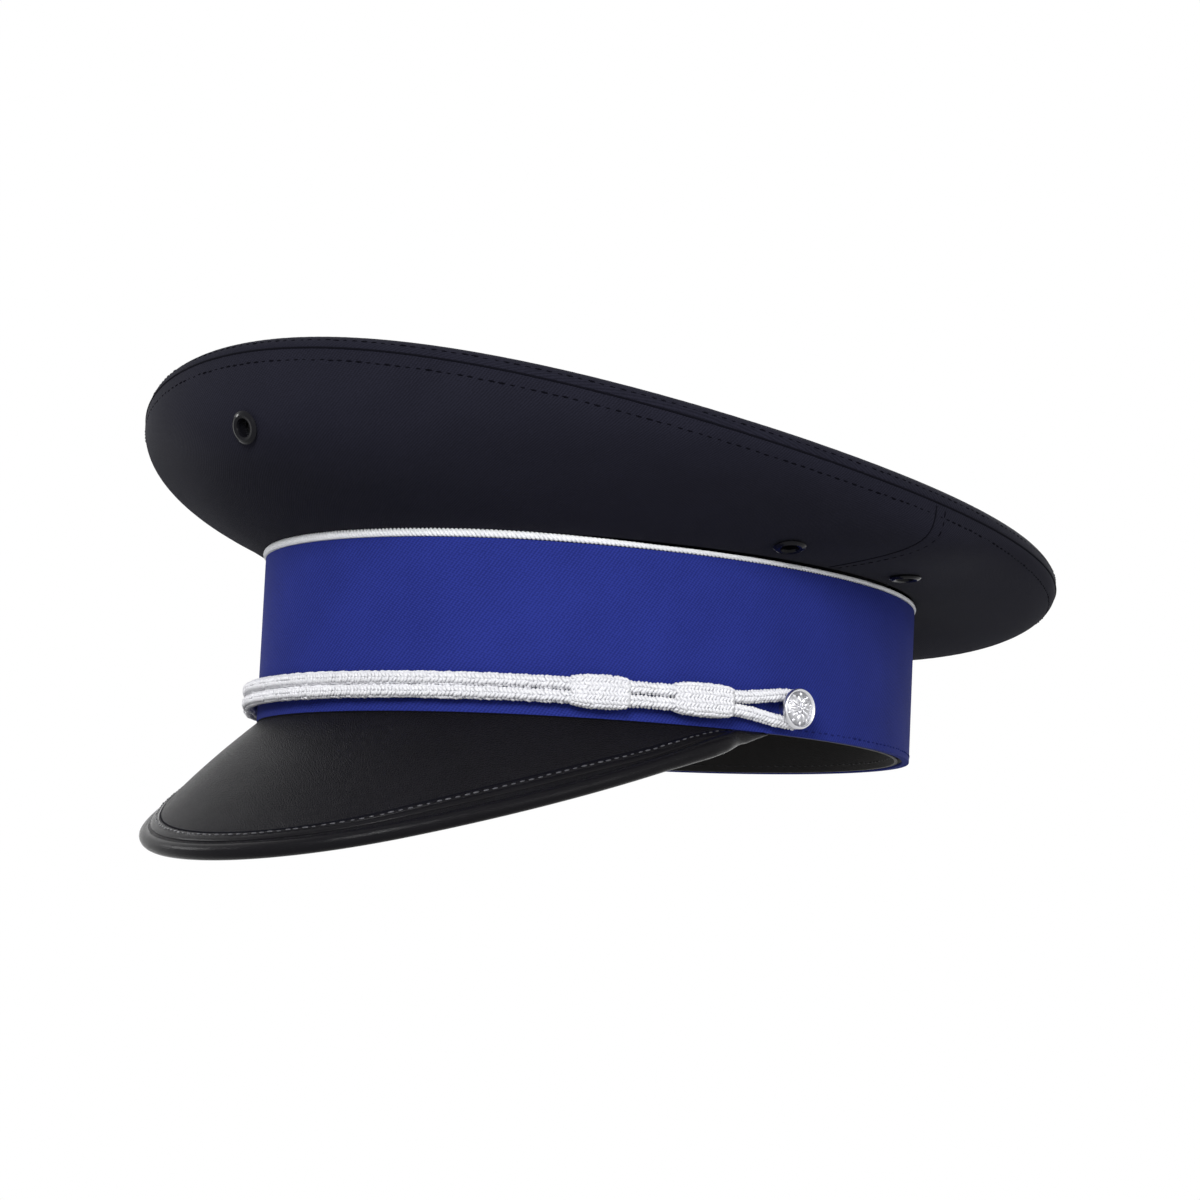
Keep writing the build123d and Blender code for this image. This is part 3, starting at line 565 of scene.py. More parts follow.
def ribs(tree, vector, angle, pitch):
    """A wave across a vector's X and Y, with its crests at an angle from X, in radians."""
    parts = put(tree, "ShaderNodeSeparateXYZ", {0: vector}).outputs
    along = maths(tree, "MULTIPLY", parts["X"], maths(tree, "SINE", angle))
    across = maths(tree, "MULTIPLY", parts["Y"], maths(tree, "COSINE", angle))
    phase = maths(tree, "DIVIDE", maths(tree, "SUBTRACT", across, along), pitch)
    wave = maths(tree, "SINE", maths(tree, "MULTIPLY", phase, math.tau))
    return maths(tree, "MULTIPLY_ADD", wave, 0.5, 0.5)


def twill(tree, given):
    """A twill weave: slanting ribs broken into threads, with uneven yarn."""
    rough = noise(tree, given["Vector"], 1900.0, 2.0)
    wander = noise(tree, given["Vector"], 60.0, 2.0)
    rib = ribs(tree, given["Vector"], given["Slant"], given["Pitch"])
    weft = ribs(tree, given["Vector"], maths(tree, "SUBTRACT", given["Slant"], 1.25),
                maths(tree, "MULTIPLY", given["Pitch"], 0.62))
    cloth = maths(tree, "MULTIPLY_ADD", weft, 0.35, maths(tree, "MULTIPLY", rib, 0.65))
    uneven = maths(tree, "MULTIPLY", maths(tree, "SUBTRACT", rough[0], 0.5), given["Slub"])
    height = maths(tree, "MULTIPLY_ADD", uneven, 2.0, cloth)
    tint = maths(tree, "MULTIPLY_ADD", maths(tree, "SUBTRACT", wander[0], 0.5), 0.5, height)
    return {"Height": height, "Shade": tint}


def pebbles(tree, given):
    """Fine leather grain: rounded cells with creases between them."""
    spot = object_spot(tree)
    scale = maths(tree, "DIVIDE", 1.0, given["Cell"])
    bend = noise(tree, spot, 350.0, 3.0)["Color"]
    bent = put(tree, "ShaderNodeVectorMath", {0: bend, "Scale": 0.0006}, operation="SCALE")
    place = put(tree, "ShaderNodeVectorMath", {0: spot, 1: bent.outputs[0]}, operation="ADD")
    cells = put(tree, "ShaderNodeTexVoronoi", {"Vector": place.outputs[0], "Scale": scale},
                feature="DISTANCE_TO_EDGE")
    edge = maths(tree, "MINIMUM", maths(tree, "MULTIPLY", cells.outputs[0], 3.0), 1.0)
    pillow = maths(tree, "POWER", edge, 0.5)
    broad = noise(tree, spot, 45.0, 4.0)[0]
    shade = maths(tree, "MULTIPLY_ADD", pillow, 0.4, maths(tree, "MULTIPLY", broad, 0.6))
    return {"Height": maths(tree, "MULTIPLY_ADD", broad, 1.2, pillow), "Shade": shade}


def fibres(tree, given):
    """Soft spun yarn: fine uneven fibres."""
    spot = object_spot(tree)
    fine = noise(tree, spot, given["Fineness"], 3.0)[0]
    broad = noise(tree, spot, 240.0, 2.0)[0]
    shade = maths(tree, "MULTIPLY_ADD", fine, 0.5, maths(tree, "MULTIPLY", broad, 0.5))
    return {"Height": fine, "Shade": shade}


GROUPS = {                      # what makes each shared group, and its inputs
    "Round And Up": (wrapped_lines, {"Radius": 0.1}),
    "Across And Over": (level_lines, {}),
    "Twill Weave": (twill, {"Vector": None, "Pitch": 0.001, "Slant": 0.9, "Slub": 0.6}),
    "Leather Grain": (pebbles, {"Cell": 0.0006}),
    "Spun Yarn": (fibres, {"Fineness": 2500.0}),
}


def new_group(name):
    """Builds one of the shared groups, with named inputs and outputs."""
    make, inputs = GROUPS[name]
    tree = bpy.data.node_groups.new(name, "ShaderNodeTree")

    def socket(label, way):
        kind = "NodeSocketVector" if label == "Vector" else "NodeSocketFloat"
        return tree.interface.new_socket(name=label, in_out=way, socket_type=kind)

    for label, value in inputs.items():
        entry = socket(label, "INPUT")
        if value is not None:
            entry.default_value = value
    results = make(tree, tree.nodes.new("NodeGroupInput").outputs)
    for label in results:
        socket(label, "OUTPUT")
    made = tree.nodes.new("NodeGroupOutput").inputs
    for label, result in results.items():
        tree.links.new(result, made[label])
    return tree


def group_node(tree, name, **inputs):
    """One of the shared groups, placed in a material; it is built the first time."""
    group = bpy.data.node_groups.get(name) or new_group(name)
    return put(tree, "ShaderNodeGroup", inputs, node_tree=group).outputs


def spread_over(tree, shade, low, high):
    """A value from low to high, as a shade goes from dark to light."""
    return put(tree, "ShaderNodeMapRange", {"Value": shade, "From Min": 0.2, "From Max": 0.8,
                                            "To Min": low, "To Max": high}).outputs[0]


def tinted(tree, colour, shade, dark, light):
    """A colour made darker and lighter by a shade from 0 to 1."""
    level = spread_over(tree, shade, dark, light)
    grey = put(tree, "ShaderNodeCombineColor", {0: level, 1: level, 2: level}).outputs[0]
    mix = put(tree, "ShaderNodeMix", {0: 1.0, 6: (*colour, 1), 7: grey},
              data_type="RGBA", blend_type="MULTIPLY")
    return mix.outputs[2]


def blank(name):
    """An empty node tree of a new material."""
    material = bpy.data.materials.new(name)
    material.use_nodes = True
    material.node_tree.nodes.clear()
    return material.node_tree


def surface(name, colour, pattern, depth, roughness, dark, light, spread=0.0, **constants):
    """A Principled surface, made once, with tint, bump and roughness from its pattern.

    The pattern is called with the material's node tree and gives a Height and a Shade.
    """
    if name in bpy.data.materials:
        return bpy.data.materials[name]
    tree = blank(name)
    made = pattern(tree)
    bump = put(tree, "ShaderNodeBump",
               {"Height": made["Height"], "Distance": depth, "Strength": 1.0})
    inputs = {
        "Base Color": tinted(tree, colour, made["Shade"], dark, light),
        "Normal": bump.outputs[0],
        "Roughness": roughness,
    }
    if spread:
        rougher, smoother = roughness + spread, roughness - spread
        inputs["Roughness"] = spread_over(tree, made["Shade"], rougher, smoother)
    shader = put(tree, "ShaderNodeBsdfPrincipled", inputs | constants)
    put(tree, "ShaderNodeOutputMaterial", {"Surface": shader.outputs[0]}, is_active_output=True)
    return bpy.data.materials[name]


def wool(name, colour, pitch, slant, radius=None, depth=0.05 * MM, sheen=0.04, dark=0.75,
         light=1.2):
    """Woven uniform cloth; with a radius it follows the way round the cap."""
    def weave(tree):
        if radius:
            lines = group_node(tree, "Round And Up", Radius=radius)
        else:
            lines = group_node(tree, "Across And Over")
        return group_node(tree, "Twill Weave", Vector=lines["Vector"], Pitch=pitch, Slant=slant)

    return surface(name, colour, weave, depth, 0.85, dark, light,
                   **{"Sheen Weight": sheen, "Sheen Roughness": 0.4, "Specular IOR Level": 0.03})


def hide(name, colour, cell, depth, roughness, specular):
    """Grained leather."""
    return surface(name, colour, lambda tree: group_node(tree, "Leather Grain", Cell=cell),
                   depth, roughness, 0.4, 0.7, 0.06, **{"Specular IOR Level": specular})


def yarn(name, colour, roughness, depth=0.04 * MM, dark=0.85, light=1.1, sheen=0.2, specular=0.25):
    """Spun or braided thread."""
    return surface(name, colour, lambda tree: group_node(tree, "Spun Yarn"),
                   depth, roughness, dark, light,
                   **{"Sheen Weight": sheen, "Sheen Roughness": 0.5,
                      "Specular IOR Level": specular})


def metal(name, colour, roughness, metallic=1.0, specular=0.5):
    """Pressed metal, bare or enamelled, with faint marks from handling."""
    return surface(name, colour, lambda tree: group_node(tree, "Spun Yarn", Fineness=900.0),
                   0.004 * MM, roughness, 0.9, 1.06, 0.05,
                   **{"Metallic": metallic, "Specular IOR Level": specular})


def film(name, colour):
    """Clear sheet with slight ripples."""
    return surface(name, colour, lambda tree: group_node(tree, "Spun Yarn", Fineness=60.0),
                   0.2 * MM, 0.15, 0.95, 1.0, Alpha=0.18)


def seam_shadow_finish(colours):
    """The painted shadow line of a seam: a dark thread colour laid along the seam's groove."""
    return yarn("seam_shadow", colours.dark_thread_and_shade, 0.95, dark=0.9, light=1.0, sheen=0.0,
                specular=0.05)


def braid_finish(colours):
    """The chin cords' and knots' braid."""
    return yarn("cord_braid", colours.cord, 0.75, dark=0.95, light=1.16, sheen=0.3)


def dress(material, slot, *names):
    """Gives CAD nodes a finish."""
    for name in names:
        NODES[name].data.materials.clear()
        NODES[name].data.materials.append(material)


# ---------------------------------------------------------------- what a user may change


def size_property(name, description, size, least):
    """A length that a user may change, from its default and its least value in millimetres."""
    return FloatProperty(name=name, description=description, default=size * MM, min=least * MM,
                         unit="LENGTH")


class CapSizes(bpy.types.PropertyGroup):
    """Sizes of the sewn and braided details"""

    stitch_pitch: size_property(
        "Stitch Pitch", "Distance from one stitch to the next", 2.8, 1)
    stitch_length: size_property(
        "Stitch Length", "Length of the thread that shows", 1.75, 0.5)
    stitch_width: size_property(
        "Stitch Width", "Width of the thread that shows", 0.5, 0.1)
    stitch_thickness: size_property(
        "Stitch Thickness", "Thickness of the thread that shows", 0.32, 0.1)
    rim_margin: size_property(
        "Rim Margin", "Topstitching's distance from the rim seam", 3.5, 1)
    hem_margin: size_property(
        "Hem Margin", "Hem stitching's height above the band's lower edge", 1.7, 0.5)
    crown_weave: size_property(
        "Crown Weave", "Pitch of the crown cloth's ribs", 0.75, 0.2)
    band_weave: size_property(
        "Band Weave", "Pitch of the band cloth's ribs", 0.95, 0.2)
    braid_pitch: size_property(
        "Braid Pitch", "Distance from one strand of the braid to the next", 1.08, 0.5)
    piping_twist: size_property(
        "Piping Twist", "Length of one turn of the piping's strands", 3.6, 2)
    flange_width: size_property(
        "Flange Width", "Width of the binding's stitched flange on the visor", 2.1, 1.5)
    leather_cell: size_property(
        "Leather Grain", "Size of one cell of the visor's grain", 0.7, 0.1)
    button_petals: IntProperty(
        name="Button Petals", description="Ribs of the rosette on each button",
        default=10, min=6, max=24)


def colour_property(name, description, colour):
    """A colour that a user may change."""
    return FloatVectorProperty(name=name, description=description, default=colour, size=3,
                               min=0, max=1, subtype="COLOR")


class CapColours(bpy.types.PropertyGroup):
    """Colours of the cap's cloth, leather, thread and metal"""

    crown: colour_property("Crown", "Crown cloth", (0.0128, 0.0128, 0.0208))
    band: colour_property("Band", "Band cloth", slot_colour("band_cloth"))
    piping: colour_property("Piping", "Twisted piping", slot_colour("piping"))
    cord: colour_property("Chin Cord", "Braided chin cords and knots", slot_colour("cord"))
    visor: colour_property("Visor", "Visor leather", slot_colour("visor_leather"))
    binding: colour_property("Binding", "Visor binding", slot_colour("binding_leather"))
    sweatband: colour_property("Sweatband", "Sweatband leather", slot_colour("sweat_leather"))
    lining: colour_property("Lining", "Lining cloth", slot_colour("lining_cloth"))
    button: colour_property("Button", "Side buttons", slot_colour("button_metal"))
    eyelet: colour_property("Eyelet", "Enamelled eyelets", slot_colour("eyelet_enamel"))
    # Crown stitching thread painted near black as the shade of its stitch holes; also the colour of
    # the seams' painted shadow lines and of the sweatband's real thread
    dark_thread_and_shade: colour_property("Dark Thread", "Crown stitching", (0.004, 0.004, 0.007))
    blue_thread: colour_property("Blue Thread", "Band stitching", (0.012, 0.018, 0.12))
    # Visor stitching: real black thread, given a grey colour as its painted glints
    visor_thread_and_glint: colour_property("Visor Thread", "Visor stitching", (0.055, 0.055, 0.065))


def settings(context):
    """The scene's sizes and colours."""
    return context.scene.peaked_cap_sizes, context.scene.peaked_cap_colours


def rim_row(tree, margin, side):
    """A route a margin away from the rim seam, above it (side 1) or below it (side -1)."""
    route = []
    for turn in range(361):
        if min(abs(turn - SIDE_SEAM_TURN), abs(360 - turn - SIDE_SEAM_TURN)) < 2:
            continue                                    # a line there would slip into the side seam
        point, outward = rim_spot(turn % 360)
        spot = point + CROWN_UP * (side * margin)
        route.append(land(tree, spot + outward * RAY_START, -outward))
    return route


# ---------------------------------------------------------------- the pieces


class CAP_OT_crown(bpy.types.Operator):
    """Dress the crown in cloth and paint dark shadow lines along its seams"""

    bl_idname = "cap.crown"
    bl_label = "Crown Cloth"

    def execute(self, context):
        sizes, colours = settings(context)
        side_cloth = wool("crown_side_twill", colours.crown, sizes.crown_weave, 0.9,
                          radius=RIM_HALF_WIDTH)
        top_cloth = wool("crown_top_twill", colours.crown, sizes.crown_weave, 0.9)
        dress(side_cloth, "crown_cloth", "crown_front_panel", "crown_back_panel")
        dress(top_cloth, "crown_cloth", "crown_top_panel")
        seam_shade = seam_shadow_finish(colours)
        rim = [rim_spot(turn % 360) for turn in range(361)]
        # A painted shadow line: a near-black tube sunk into the rim seam's groove
        bead_line("rim_seam_shadow", rim, 0.34 * MM, seam_shade, sink=0.1 * MM)
        panels = skin("crown_front_panel", "crown_back_panel")
        # Painted shadow lines down both side seams
        for name, side in SIDES.items():
            bead_line(f"side_seam_shadow_{name}", side_seam_shadow(panels, side, 0.1), 0.3 * MM, seam_shade,
                      sink=0.14 * MM, step=1.5 * MM)
        return {"FINISHED"}


def side_seam_shadow(panels, side, behind):
    """A route down a side seam, some degrees behind it."""
    rim, aim = rim_spot(side * (SIDE_SEAM_TURN + behind))
    band, _ = oval_spot(0, math.atan2(rim.y, rim.x))
    foot = Vector((band.x, band.y, band_top(band.y) + PIPING_TOP))
    corner = rim - CROWN_UP * STRIP_AT_SIDE
    route = []
    for start, end, heading in ((rim, corner, -aim), (corner, foot, CROWN_UP)):
        steps = round((end - start).length / SEAM_STEP)
        for i in range(1, steps):
            spot = start.lerp(end, i / steps)
            point, normal = land(panels, spot - heading * RAY_START, heading)
            if not route or (point - route[-1][0]).length > 0.4 * SEAM_STEP:
                route.append((point, normal))
    return route


class CAP_OT_crown_stitching(bpy.types.Operator):
    """Sew the rows of topstitching along the crown's seams"""

    bl_idname = "cap.crown_stitching"
    bl_label = "Crown Stitching"

    def execute(self, context):
        sizes, colours = settings(context)
        # The crown thread is painted darker than the cloth it matches, as the shade of the dimples
        # it sits in
        thread = yarn("crown_thread_painted_shade", colours.dark_thread_and_shade, 0.9, dark=0.6, light=1.0, sheen=0.0,
                      specular=0.02)
        panels = skin("crown_front_panel", "crown_back_panel")
        rows = {
            "topstitch_below_rim": rim_row(panels, sizes.rim_margin, -1),
            "topstitch_above_rim": rim_row(skin("crown_top_panel"), sizes.rim_margin * 0.66, 1),
        }
        for name, side in SIDES.items():
            rows[f"side_stitch_{name}"] = side_seam_shadow(panels, side, 1.6)
        for name, route in rows.items():
            stitch_row(name, route, sizes, thread)
        return {"FINISHED"}


class CAP_OT_eyelets(bpy.types.Operator):
    """Enamel the badge and vent eyelets"""

    bl_idname = "cap.eyelets"
    bl_label = "Eyelets"

    def execute(self, context):
        _, colours = settings(context)
        enamel = metal("black_enamel", colours.eyelet, 0.16, metallic=0.0, specular=0.11)
        rings = [name for name in NODES if name.endswith(("_eyelet", "_washer"))]
        dress(enamel, "eyelet_enamel", *rings)
        return {"FINISHED"}


class CAP_OT_band(bpy.types.Operator):
    """Dress the head band and stitch its hem"""

    bl_idname = "cap.band"
    bl_label = "Head Band"

    def execute(self, context):
        sizes, colours = settings(context)
        cloth = wool("band_twill", colours.band, sizes.band_weave, 0.85, radius=BAND_HALF_LENGTH,
                     depth=0.06 * MM, dark=0.68, light=1.1)
        dress(cloth, "band_cloth", "band_cloth")
        thread = yarn("band_thread", colours.blue_thread, 0.9, sheen=0.0, specular=0.03)
        hem = half_oval(0, VISOR_CORNER_Y + CORNER_CLEAR, 1, sizes.hem_margin)
        stitch_row("hem_stitching", hem, sizes, thread)
        return {"FINISHED"}


def plumpness(share):
    """How full the piping is, from the back (0) round the front (0.5) to the back (1)."""
    forward = 0.5 - 0.5 * math.cos(math.tau * share)
    return float(np.interp(forward, PLUMP_PLACES, PLUMP_SIZES))


class CAP_OT_piping(bpy.types.Operator):
    """Twist the white piping between the band and the crown"""

    bl_idname = "cap.piping"
    bl_label = "Piping"

    def execute(self, context):
        sizes, colours = settings(context)
        route = round_oval(-PIPING_SET_IN, PIPING_STEPS)
        for i, (point, _) in enumerate(route):
            radius = PIPING_RADIUS * plumpness(i / PIPING_STEPS)
            point.z = band_top(point.y) + radius + 0.05 * MM
        whole = route_length(route)
        count = round(whole / sizes.piping_twist)
        strand = 0.52 * PIPING_RADIUS
        piece = primitive("circle", vertices=8, radius=strand, rotation=ALONG_X,
                          location=(0, PIPING_RADIUS - strand, 0))
        piece = copied(piece, [Matrix.Rotation(math.tau * k / 3, 4, "X") for k in range(3)])
        modified(piece, "SCREW", axis="X", angle=math.tau, screw_offset=whole / count, steps=12,
                 render_steps=12, use_merge_vertices=False)
        repeated(piece, count, whole / count)
        closed_up(piece, 0.004 * MM)
        swelled(piece, lambda x: plumpness(x / whole))
        closed_up(lay_along(piece, route), 0.01 * MM)
        finish = yarn("piping_yarn", colours.piping, 0.7, dark=0.9, light=1.08)
        finished(piece, "piping", "cap", finish, ["band_piping"])
        return {"FINISHED"}


class CAP_OT_inside(bpy.types.Operator):
    """Dress the sweatband, lining and hidden parts"""

    bl_idname = "cap.inside"
    bl_label = "Inside"

    def execute(self, context):
        sizes, colours = settings(context)
        sweat = hide("sweatband_hide", colours.sweatband, 0.5 * MM, depth=0.05 * MM,
                     roughness=0.6, specular=0.3)
        dress(sweat, "sweat_leather", "sweatband")
        lining = wool("lining_weave", colours.lining, 0.5 * MM, 0.8, depth=0.03 * MM, sheen=0.5)
        dress(lining, "lining_cloth", "lining_side", "lining_top")
        foam = yarn("foam_pad", slot_colour("foam"), 0.95, depth=0.1 * MM)
        dress(foam, "foam", "top_padding", "forehead_pad")
        board = yarn("stiffener_pulp", slot_colour("stiffener"), 0.7, depth=0.03 * MM)
        dress(board, "stiffener", "band_stiffener")
        steel = metal("sprung_steel", slot_colour("spring_steel"), 0.35)
        dress(steel, "spring_steel", "crown_grommet", "front_stay",
              "button_washer_left", "button_washer_right")
        brass = metal("plain_brass", slot_colour("brass"), 0.3)
        dress(brass, "brass", "grommet_ferrule", "button_pin_left", "button_pin_right")
        dress(film("clear_film", slot_colour("clear_shield")), "clear_shield", "sweat_shield")
        thread = yarn("sweatband_thread", colours.dark_thread_and_shade, 0.6)
        inner = skin("sweatband")
        row = [
            land(inner, Vector((0, point.y * 0.5, point.z)), outward)
            for point, outward in round_oval(0, 360, 2.2 * MM)
        ]
        stitch_row("sweatband_stitching", row, sizes, thread)
        return {"FINISHED"}


class CAP_OT_visor(bpy.types.Operator):
    """Dress the visor and sew its binding's flange"""

    bl_idname = "cap.visor"
    bl_label = "Visor"

    def execute(self, context):
        sizes, colours = settings(context)
        cell = sizes.leather_cell
        leather = hide("visor_hide", colours.visor, cell, depth=0.14 * MM, roughness=0.34,
                       specular=0.05)
        edging = hide("binding_hide", colours.binding, cell * 0.8, depth=0.03 * MM,
                      roughness=0.21, specular=0.07)
        dress(leather, "visor_leather", "visor_cover", "visor_underlining")
        dress(edging, "binding_leather", "visor_binding")
        dress(yarn("visor_pulp", slot_colour("visor_board"), 0.8), "visor_board", "visor_board")
        cover = skin("visor_cover", "visor_binding")
        inner_inset = FLANGE_INSET + sizes.flange_width
        insets = (FLANGE_INSET + sizes.flange_width / 2, inner_inset, inner_inset + CREASE_GAP)
        middle, inner, border = [], [], []
        for turn in range(-VISOR_SWEEP, VISOR_SWEEP + 1):
            narrow = float(np.interp(abs(turn), NARROW_TURNS, NARROW_SHARES))
            for route, inset in zip((middle, inner, border), insets):
                point, _ = visor_spot(turn, inset * narrow)
                if oval_distance(point) >= 0.5 * MM:
                    route.append(land(cover, point + VISOR_UP * RAY_START, -VISOR_UP))
        width = sizes.flange_width * 1.05
        bead_line("visor_flange", middle, width / 2, edging,
                  flat=FLANGE_THICKNESS / width, sides=20)
        bead_line("visor_welt", inner, 0.8 * MM, edging, sink=0.1 * MM,
                  flat=0.7)
        # Painted shadow lines: in the leather's fold inside the stitching, and under the band's
        # edge where it meets the visor
        seam_shade = seam_shadow_finish(colours)
        bead_line("visor_crease_shadow", border, 0.34 * MM, seam_shade, sink=0.2 * MM)
        # Black thread lightened to grey: painted glints on the visor's stitching
        thread = yarn("visor_thread_and_glint", colours.visor_thread_and_glint, 0.3, sheen=0.0, specular=0.6)
        stitch_row("visor_stitching", inner, sizes, thread, rise=0.46 * MM,
                   scale=0.9)
        edge_bead(edging)
        seat = half_oval(-0.45 * MM, VISOR_CORNER_Y - CORNER_CLEAR, -1, -0.15 * MM)
        bead_line("visor_seat_seam_shadow", seat, 0.4 * MM, seam_shade)
        return {"FINISHED"}


def edge_bead(material):
    """The binding's round edge, fuller where the layers swell and tapering in under the band."""
    last = 2 * BEAD_TURNS[-1]
    turns = [half / 2 for half in range(-last, last + 1)]
    sizes = [float(np.interp(abs(turn), BEAD_TURNS, BEAD_SIZES)) for turn in turns]
    route = []
    for turn, size in zip(turns, sizes):
        point, outward = visor_spot(turn, float(np.interp(abs(turn), BEAD_TURNS, BEAD_INSETS)) * MM)
        point.z = min(point.z, -BINDING_RADIUS * size - 0.1 * MM)
        route.append((point, outward))
    reach = reaches(np.array([point for point, _ in route]))
    piece = core(reach[-1], ring_outline(BINDING_RADIUS, 20), 1.2 * MM)
    swelled(piece, lambda x: float(np.interp(x, reach, sizes)))
    lay_along(piece, route)
    return finished(piece, "visor_bead", "cap", material, ["visor_binding"])


def oval_distance(point):
    """How far a point stands outside the band."""
    edge, _ = oval_spot(0, math.atan2(point.y, point.x))
    return Vector((point.x, point.y)).length - Vector((edge.x, edge.y)).length


def braid(length, outline, pitch):
    """A straight braid along X: slanting lumps in columns over a closed outline of (y, z) points.

    Neighbouring columns slant opposite ways, as the strands of a plait do.
    """
    columns = len(outline)
    middle = Vector((0, *np.mean(outline, axis=0)))
    run = Vector((1, 0, 0))
    pieces = []
    for k, (y, z) in enumerate(outline):
        after, before = outline[(k + 1) % columns], outline[k - 1]
        across = Vector((0, after[0] - before[0], after[1] - before[1]))
        gap = across.length / 2
        across.normalize()
        out = across.cross(run)
        if out.dot(Vector((0, y, z)) - middle) < 0:
            out.negate()
        turn = turn_to(run, out, run.cross(out))
        lean = Matrix.Rotation(math.radians(STRAND_LEAN) * (1 if k % 2 else -1), 4, "Y")
        lump = grain(gap * 1.75, pitch * 0.95, STRAND_THICKNESS)
        pieces.append(copied(lump, [Matrix.Translation((0, y, z)) @ turn @ lean]))
    ring = joined(pieces)
    each = len(ring.data.vertices) // columns
    repeated(ring, round(length / pitch), pitch)
    return shaken(ring, each, (0.06 * MM, 0.05 * MM, 0.06 * MM), (0.84, 1.12))


def core(length, outline, step):
    """A straight closed bar along X with the given (y, z) outline."""
    count = max(2, round(length / step))
    piece = primitive("circle", vertices=len(outline), radius=1 * MM, fill_type="NOTHING",
                      rotation=ALONG_X)
    for vertex, (y, z) in zip(piece.data.vertices, outline):
        vertex.co = (0, y, z)
    with edit_mode(piece):
        bpy.ops.mesh.extrude_region_move(TRANSFORM_OT_translate={"value": (length / count, 0, 0)})
    repeated(piece, count, length / count)
    return ends_closed(closed_up(piece))


def ring_outline(radius, columns):
    """Points round a circle, in (y, z), the first half a column off straight outwards."""
    angles = [math.tau * (k + 0.5) / columns for k in range(columns)]
    return [(radius * math.cos(a), radius * math.sin(a)) for a in angles]


def cord_loop(level, side, start_angle):
    """A run's loop behind one button, from the rear knot to where it meets the other run."""
    half = CORD_PITCH / 2
    start, out_start = side_spot(CORD_STAND_OFF, start_angle, side, 0)
    rear = math.asin(-LOOP_REAR_Y / (SIDE_RADIUS + CORD_STAND_OFF))
    corner, out_corner = side_spot(CORD_STAND_OFF + 0.2 * MM, rear, side, 0)
    run = (corner - start).length - LOOP_BEND
    points = []
    for i in range(LOOP_STEPS + 1):
        share = i / LOOP_STEPS
        rise = half + (LOOP_HALF_HEIGHT - half) * share * share * (3 - 2 * share)
        place = start.lerp(corner, run * share / (corner - start).length)
        place.z = STRAP_HEIGHT + level * rise
        points.append((place, out_start.lerp(out_corner, share)))
    bend_start, heading = points[-1][0], (corner - start).normalized()
    for i in range(1, BEND_STEPS + 1):
        angle = math.pi / 2 * i / BEND_STEPS
        place = bend_start + heading * LOOP_BEND * math.sin(angle)
        place.z = STRAP_HEIGHT + level * (LOOP_HALF_HEIGHT - LOOP_BEND * (1 - math.cos(angle)))
        points.append((place, out_corner))
    last = points[-1][0].copy()
    last.z = STRAP_HEIGHT
    return points + [(last, out_corner)]


def cord_route(level):
    """The middle of one run of the chin cord, from behind one button round to the other."""
    end = math.radians(KNOTS["rear"][0] - 0.4)
    first, _ = side_spot(CORD_STAND_OFF, end, 1, 0)
    from_turn = math.atan2(first.x, -first.y)
    z = STRAP_HEIGHT + level * CORD_PITCH / 2
    arc = [
        oval_spot(CORD_STAND_OFF, from_turn * (1 - 2 * i / ARC_STEPS) - math.pi / 2, z)
        for i in range(1, ARC_STEPS)
    ]
    return cord_loop(level, SIDES["left"], end)[::-1] + arc + cord_loop(level, SIDES["right"], end)


class CAP_OT_chin_cords(bpy.types.Operator):
    """Braid both runs of the chin cord"""

    bl_idname = "cap.chin_cords"
    bl_label = "Chin Cords"

    def execute(self, context):
        sizes, colours = settings(context)
        finish = braid_finish(colours)
        for name, level in (("upper", 1), ("lower", -1)):
            route = cord_route(level)
            whole = route_length(route)
            lumps = braid(whole, ring_outline(CORD_RADIUS - 0.5 * MM, 6), sizes.braid_pitch)
            inside = core(whole, ring_outline(CORD_RADIUS - 0.75 * MM, 12), 2 * MM)
            piece = lay_along(joined([lumps, inside]), route)
            finished(piece, f"chin_braid_{name}", "chin_cord", finish,
                     [f"chin_cord_{name}"])
        return {"FINISHED"}


def knot_outline(inset, gap):
    """Evenly spaced points round a knot's rounded section, in (y, z)."""
    low, high, half = KNOT_INNER + inset, KNOT_OUTER - inset, KNOT_HEIGHT / 2 - inset
    corner = KNOT_CORNER - inset
    corners = [(high - corner, half - corner, 0), (low + corner, half - corner, 90),
               (low + corner, corner - half, 180), (high - corner, corner - half, 270)]
    points = []
    for y, z, start in corners:
        for i in range(CORNER_STEPS + 1):
            angle = math.radians(start + 90 * i / CORNER_STEPS)
            points.append((y + corner * math.cos(angle), z + corner * math.sin(angle)))
    points = np.array(points + points[:1])
    reach = reaches(points)
    count = 2 * round(reach[-1] / gap / 2)
    places = reach[-1] * (np.arange(count) + 0.5) / count
    return list(zip(np.interp(places, reach, points[:, 0]), np.interp(places, reach, points[:, 1])))


class CAP_OT_knots(bpy.types.Operator):
    """Plait the sliding knots on the chin cords"""

    bl_idname = "cap.knots"
    bl_label = "Knots"

    def execute(self, context):
        sizes, colours = settings(context)
        finish = braid_finish(colours)
        for side_name, side in SIDES.items():
            for place, (low, high) in KNOTS.items():
                angles = np.radians(np.linspace(high, low, KNOT_STEPS + 1))
                route = [side_spot(0, angle, side, STRAP_HEIGHT) for angle in angles]
                whole = route_length(route)
                count = round(whole / (sizes.braid_pitch * 0.95))
                lumps = braid(whole, knot_outline(0.5 * MM, 1.15 * MM), whole / count)
                inside = core(whole, knot_outline(0.65 * MM, 0.8 * MM), 1 * MM)
                piece = lay_along(rounded_ends(joined([lumps, inside]), whole), route)
                name = f"knot_{side_name}_{place}"
                finished(piece, name, name, finish, [f"cord_{name}"])
        return {"FINISHED"}


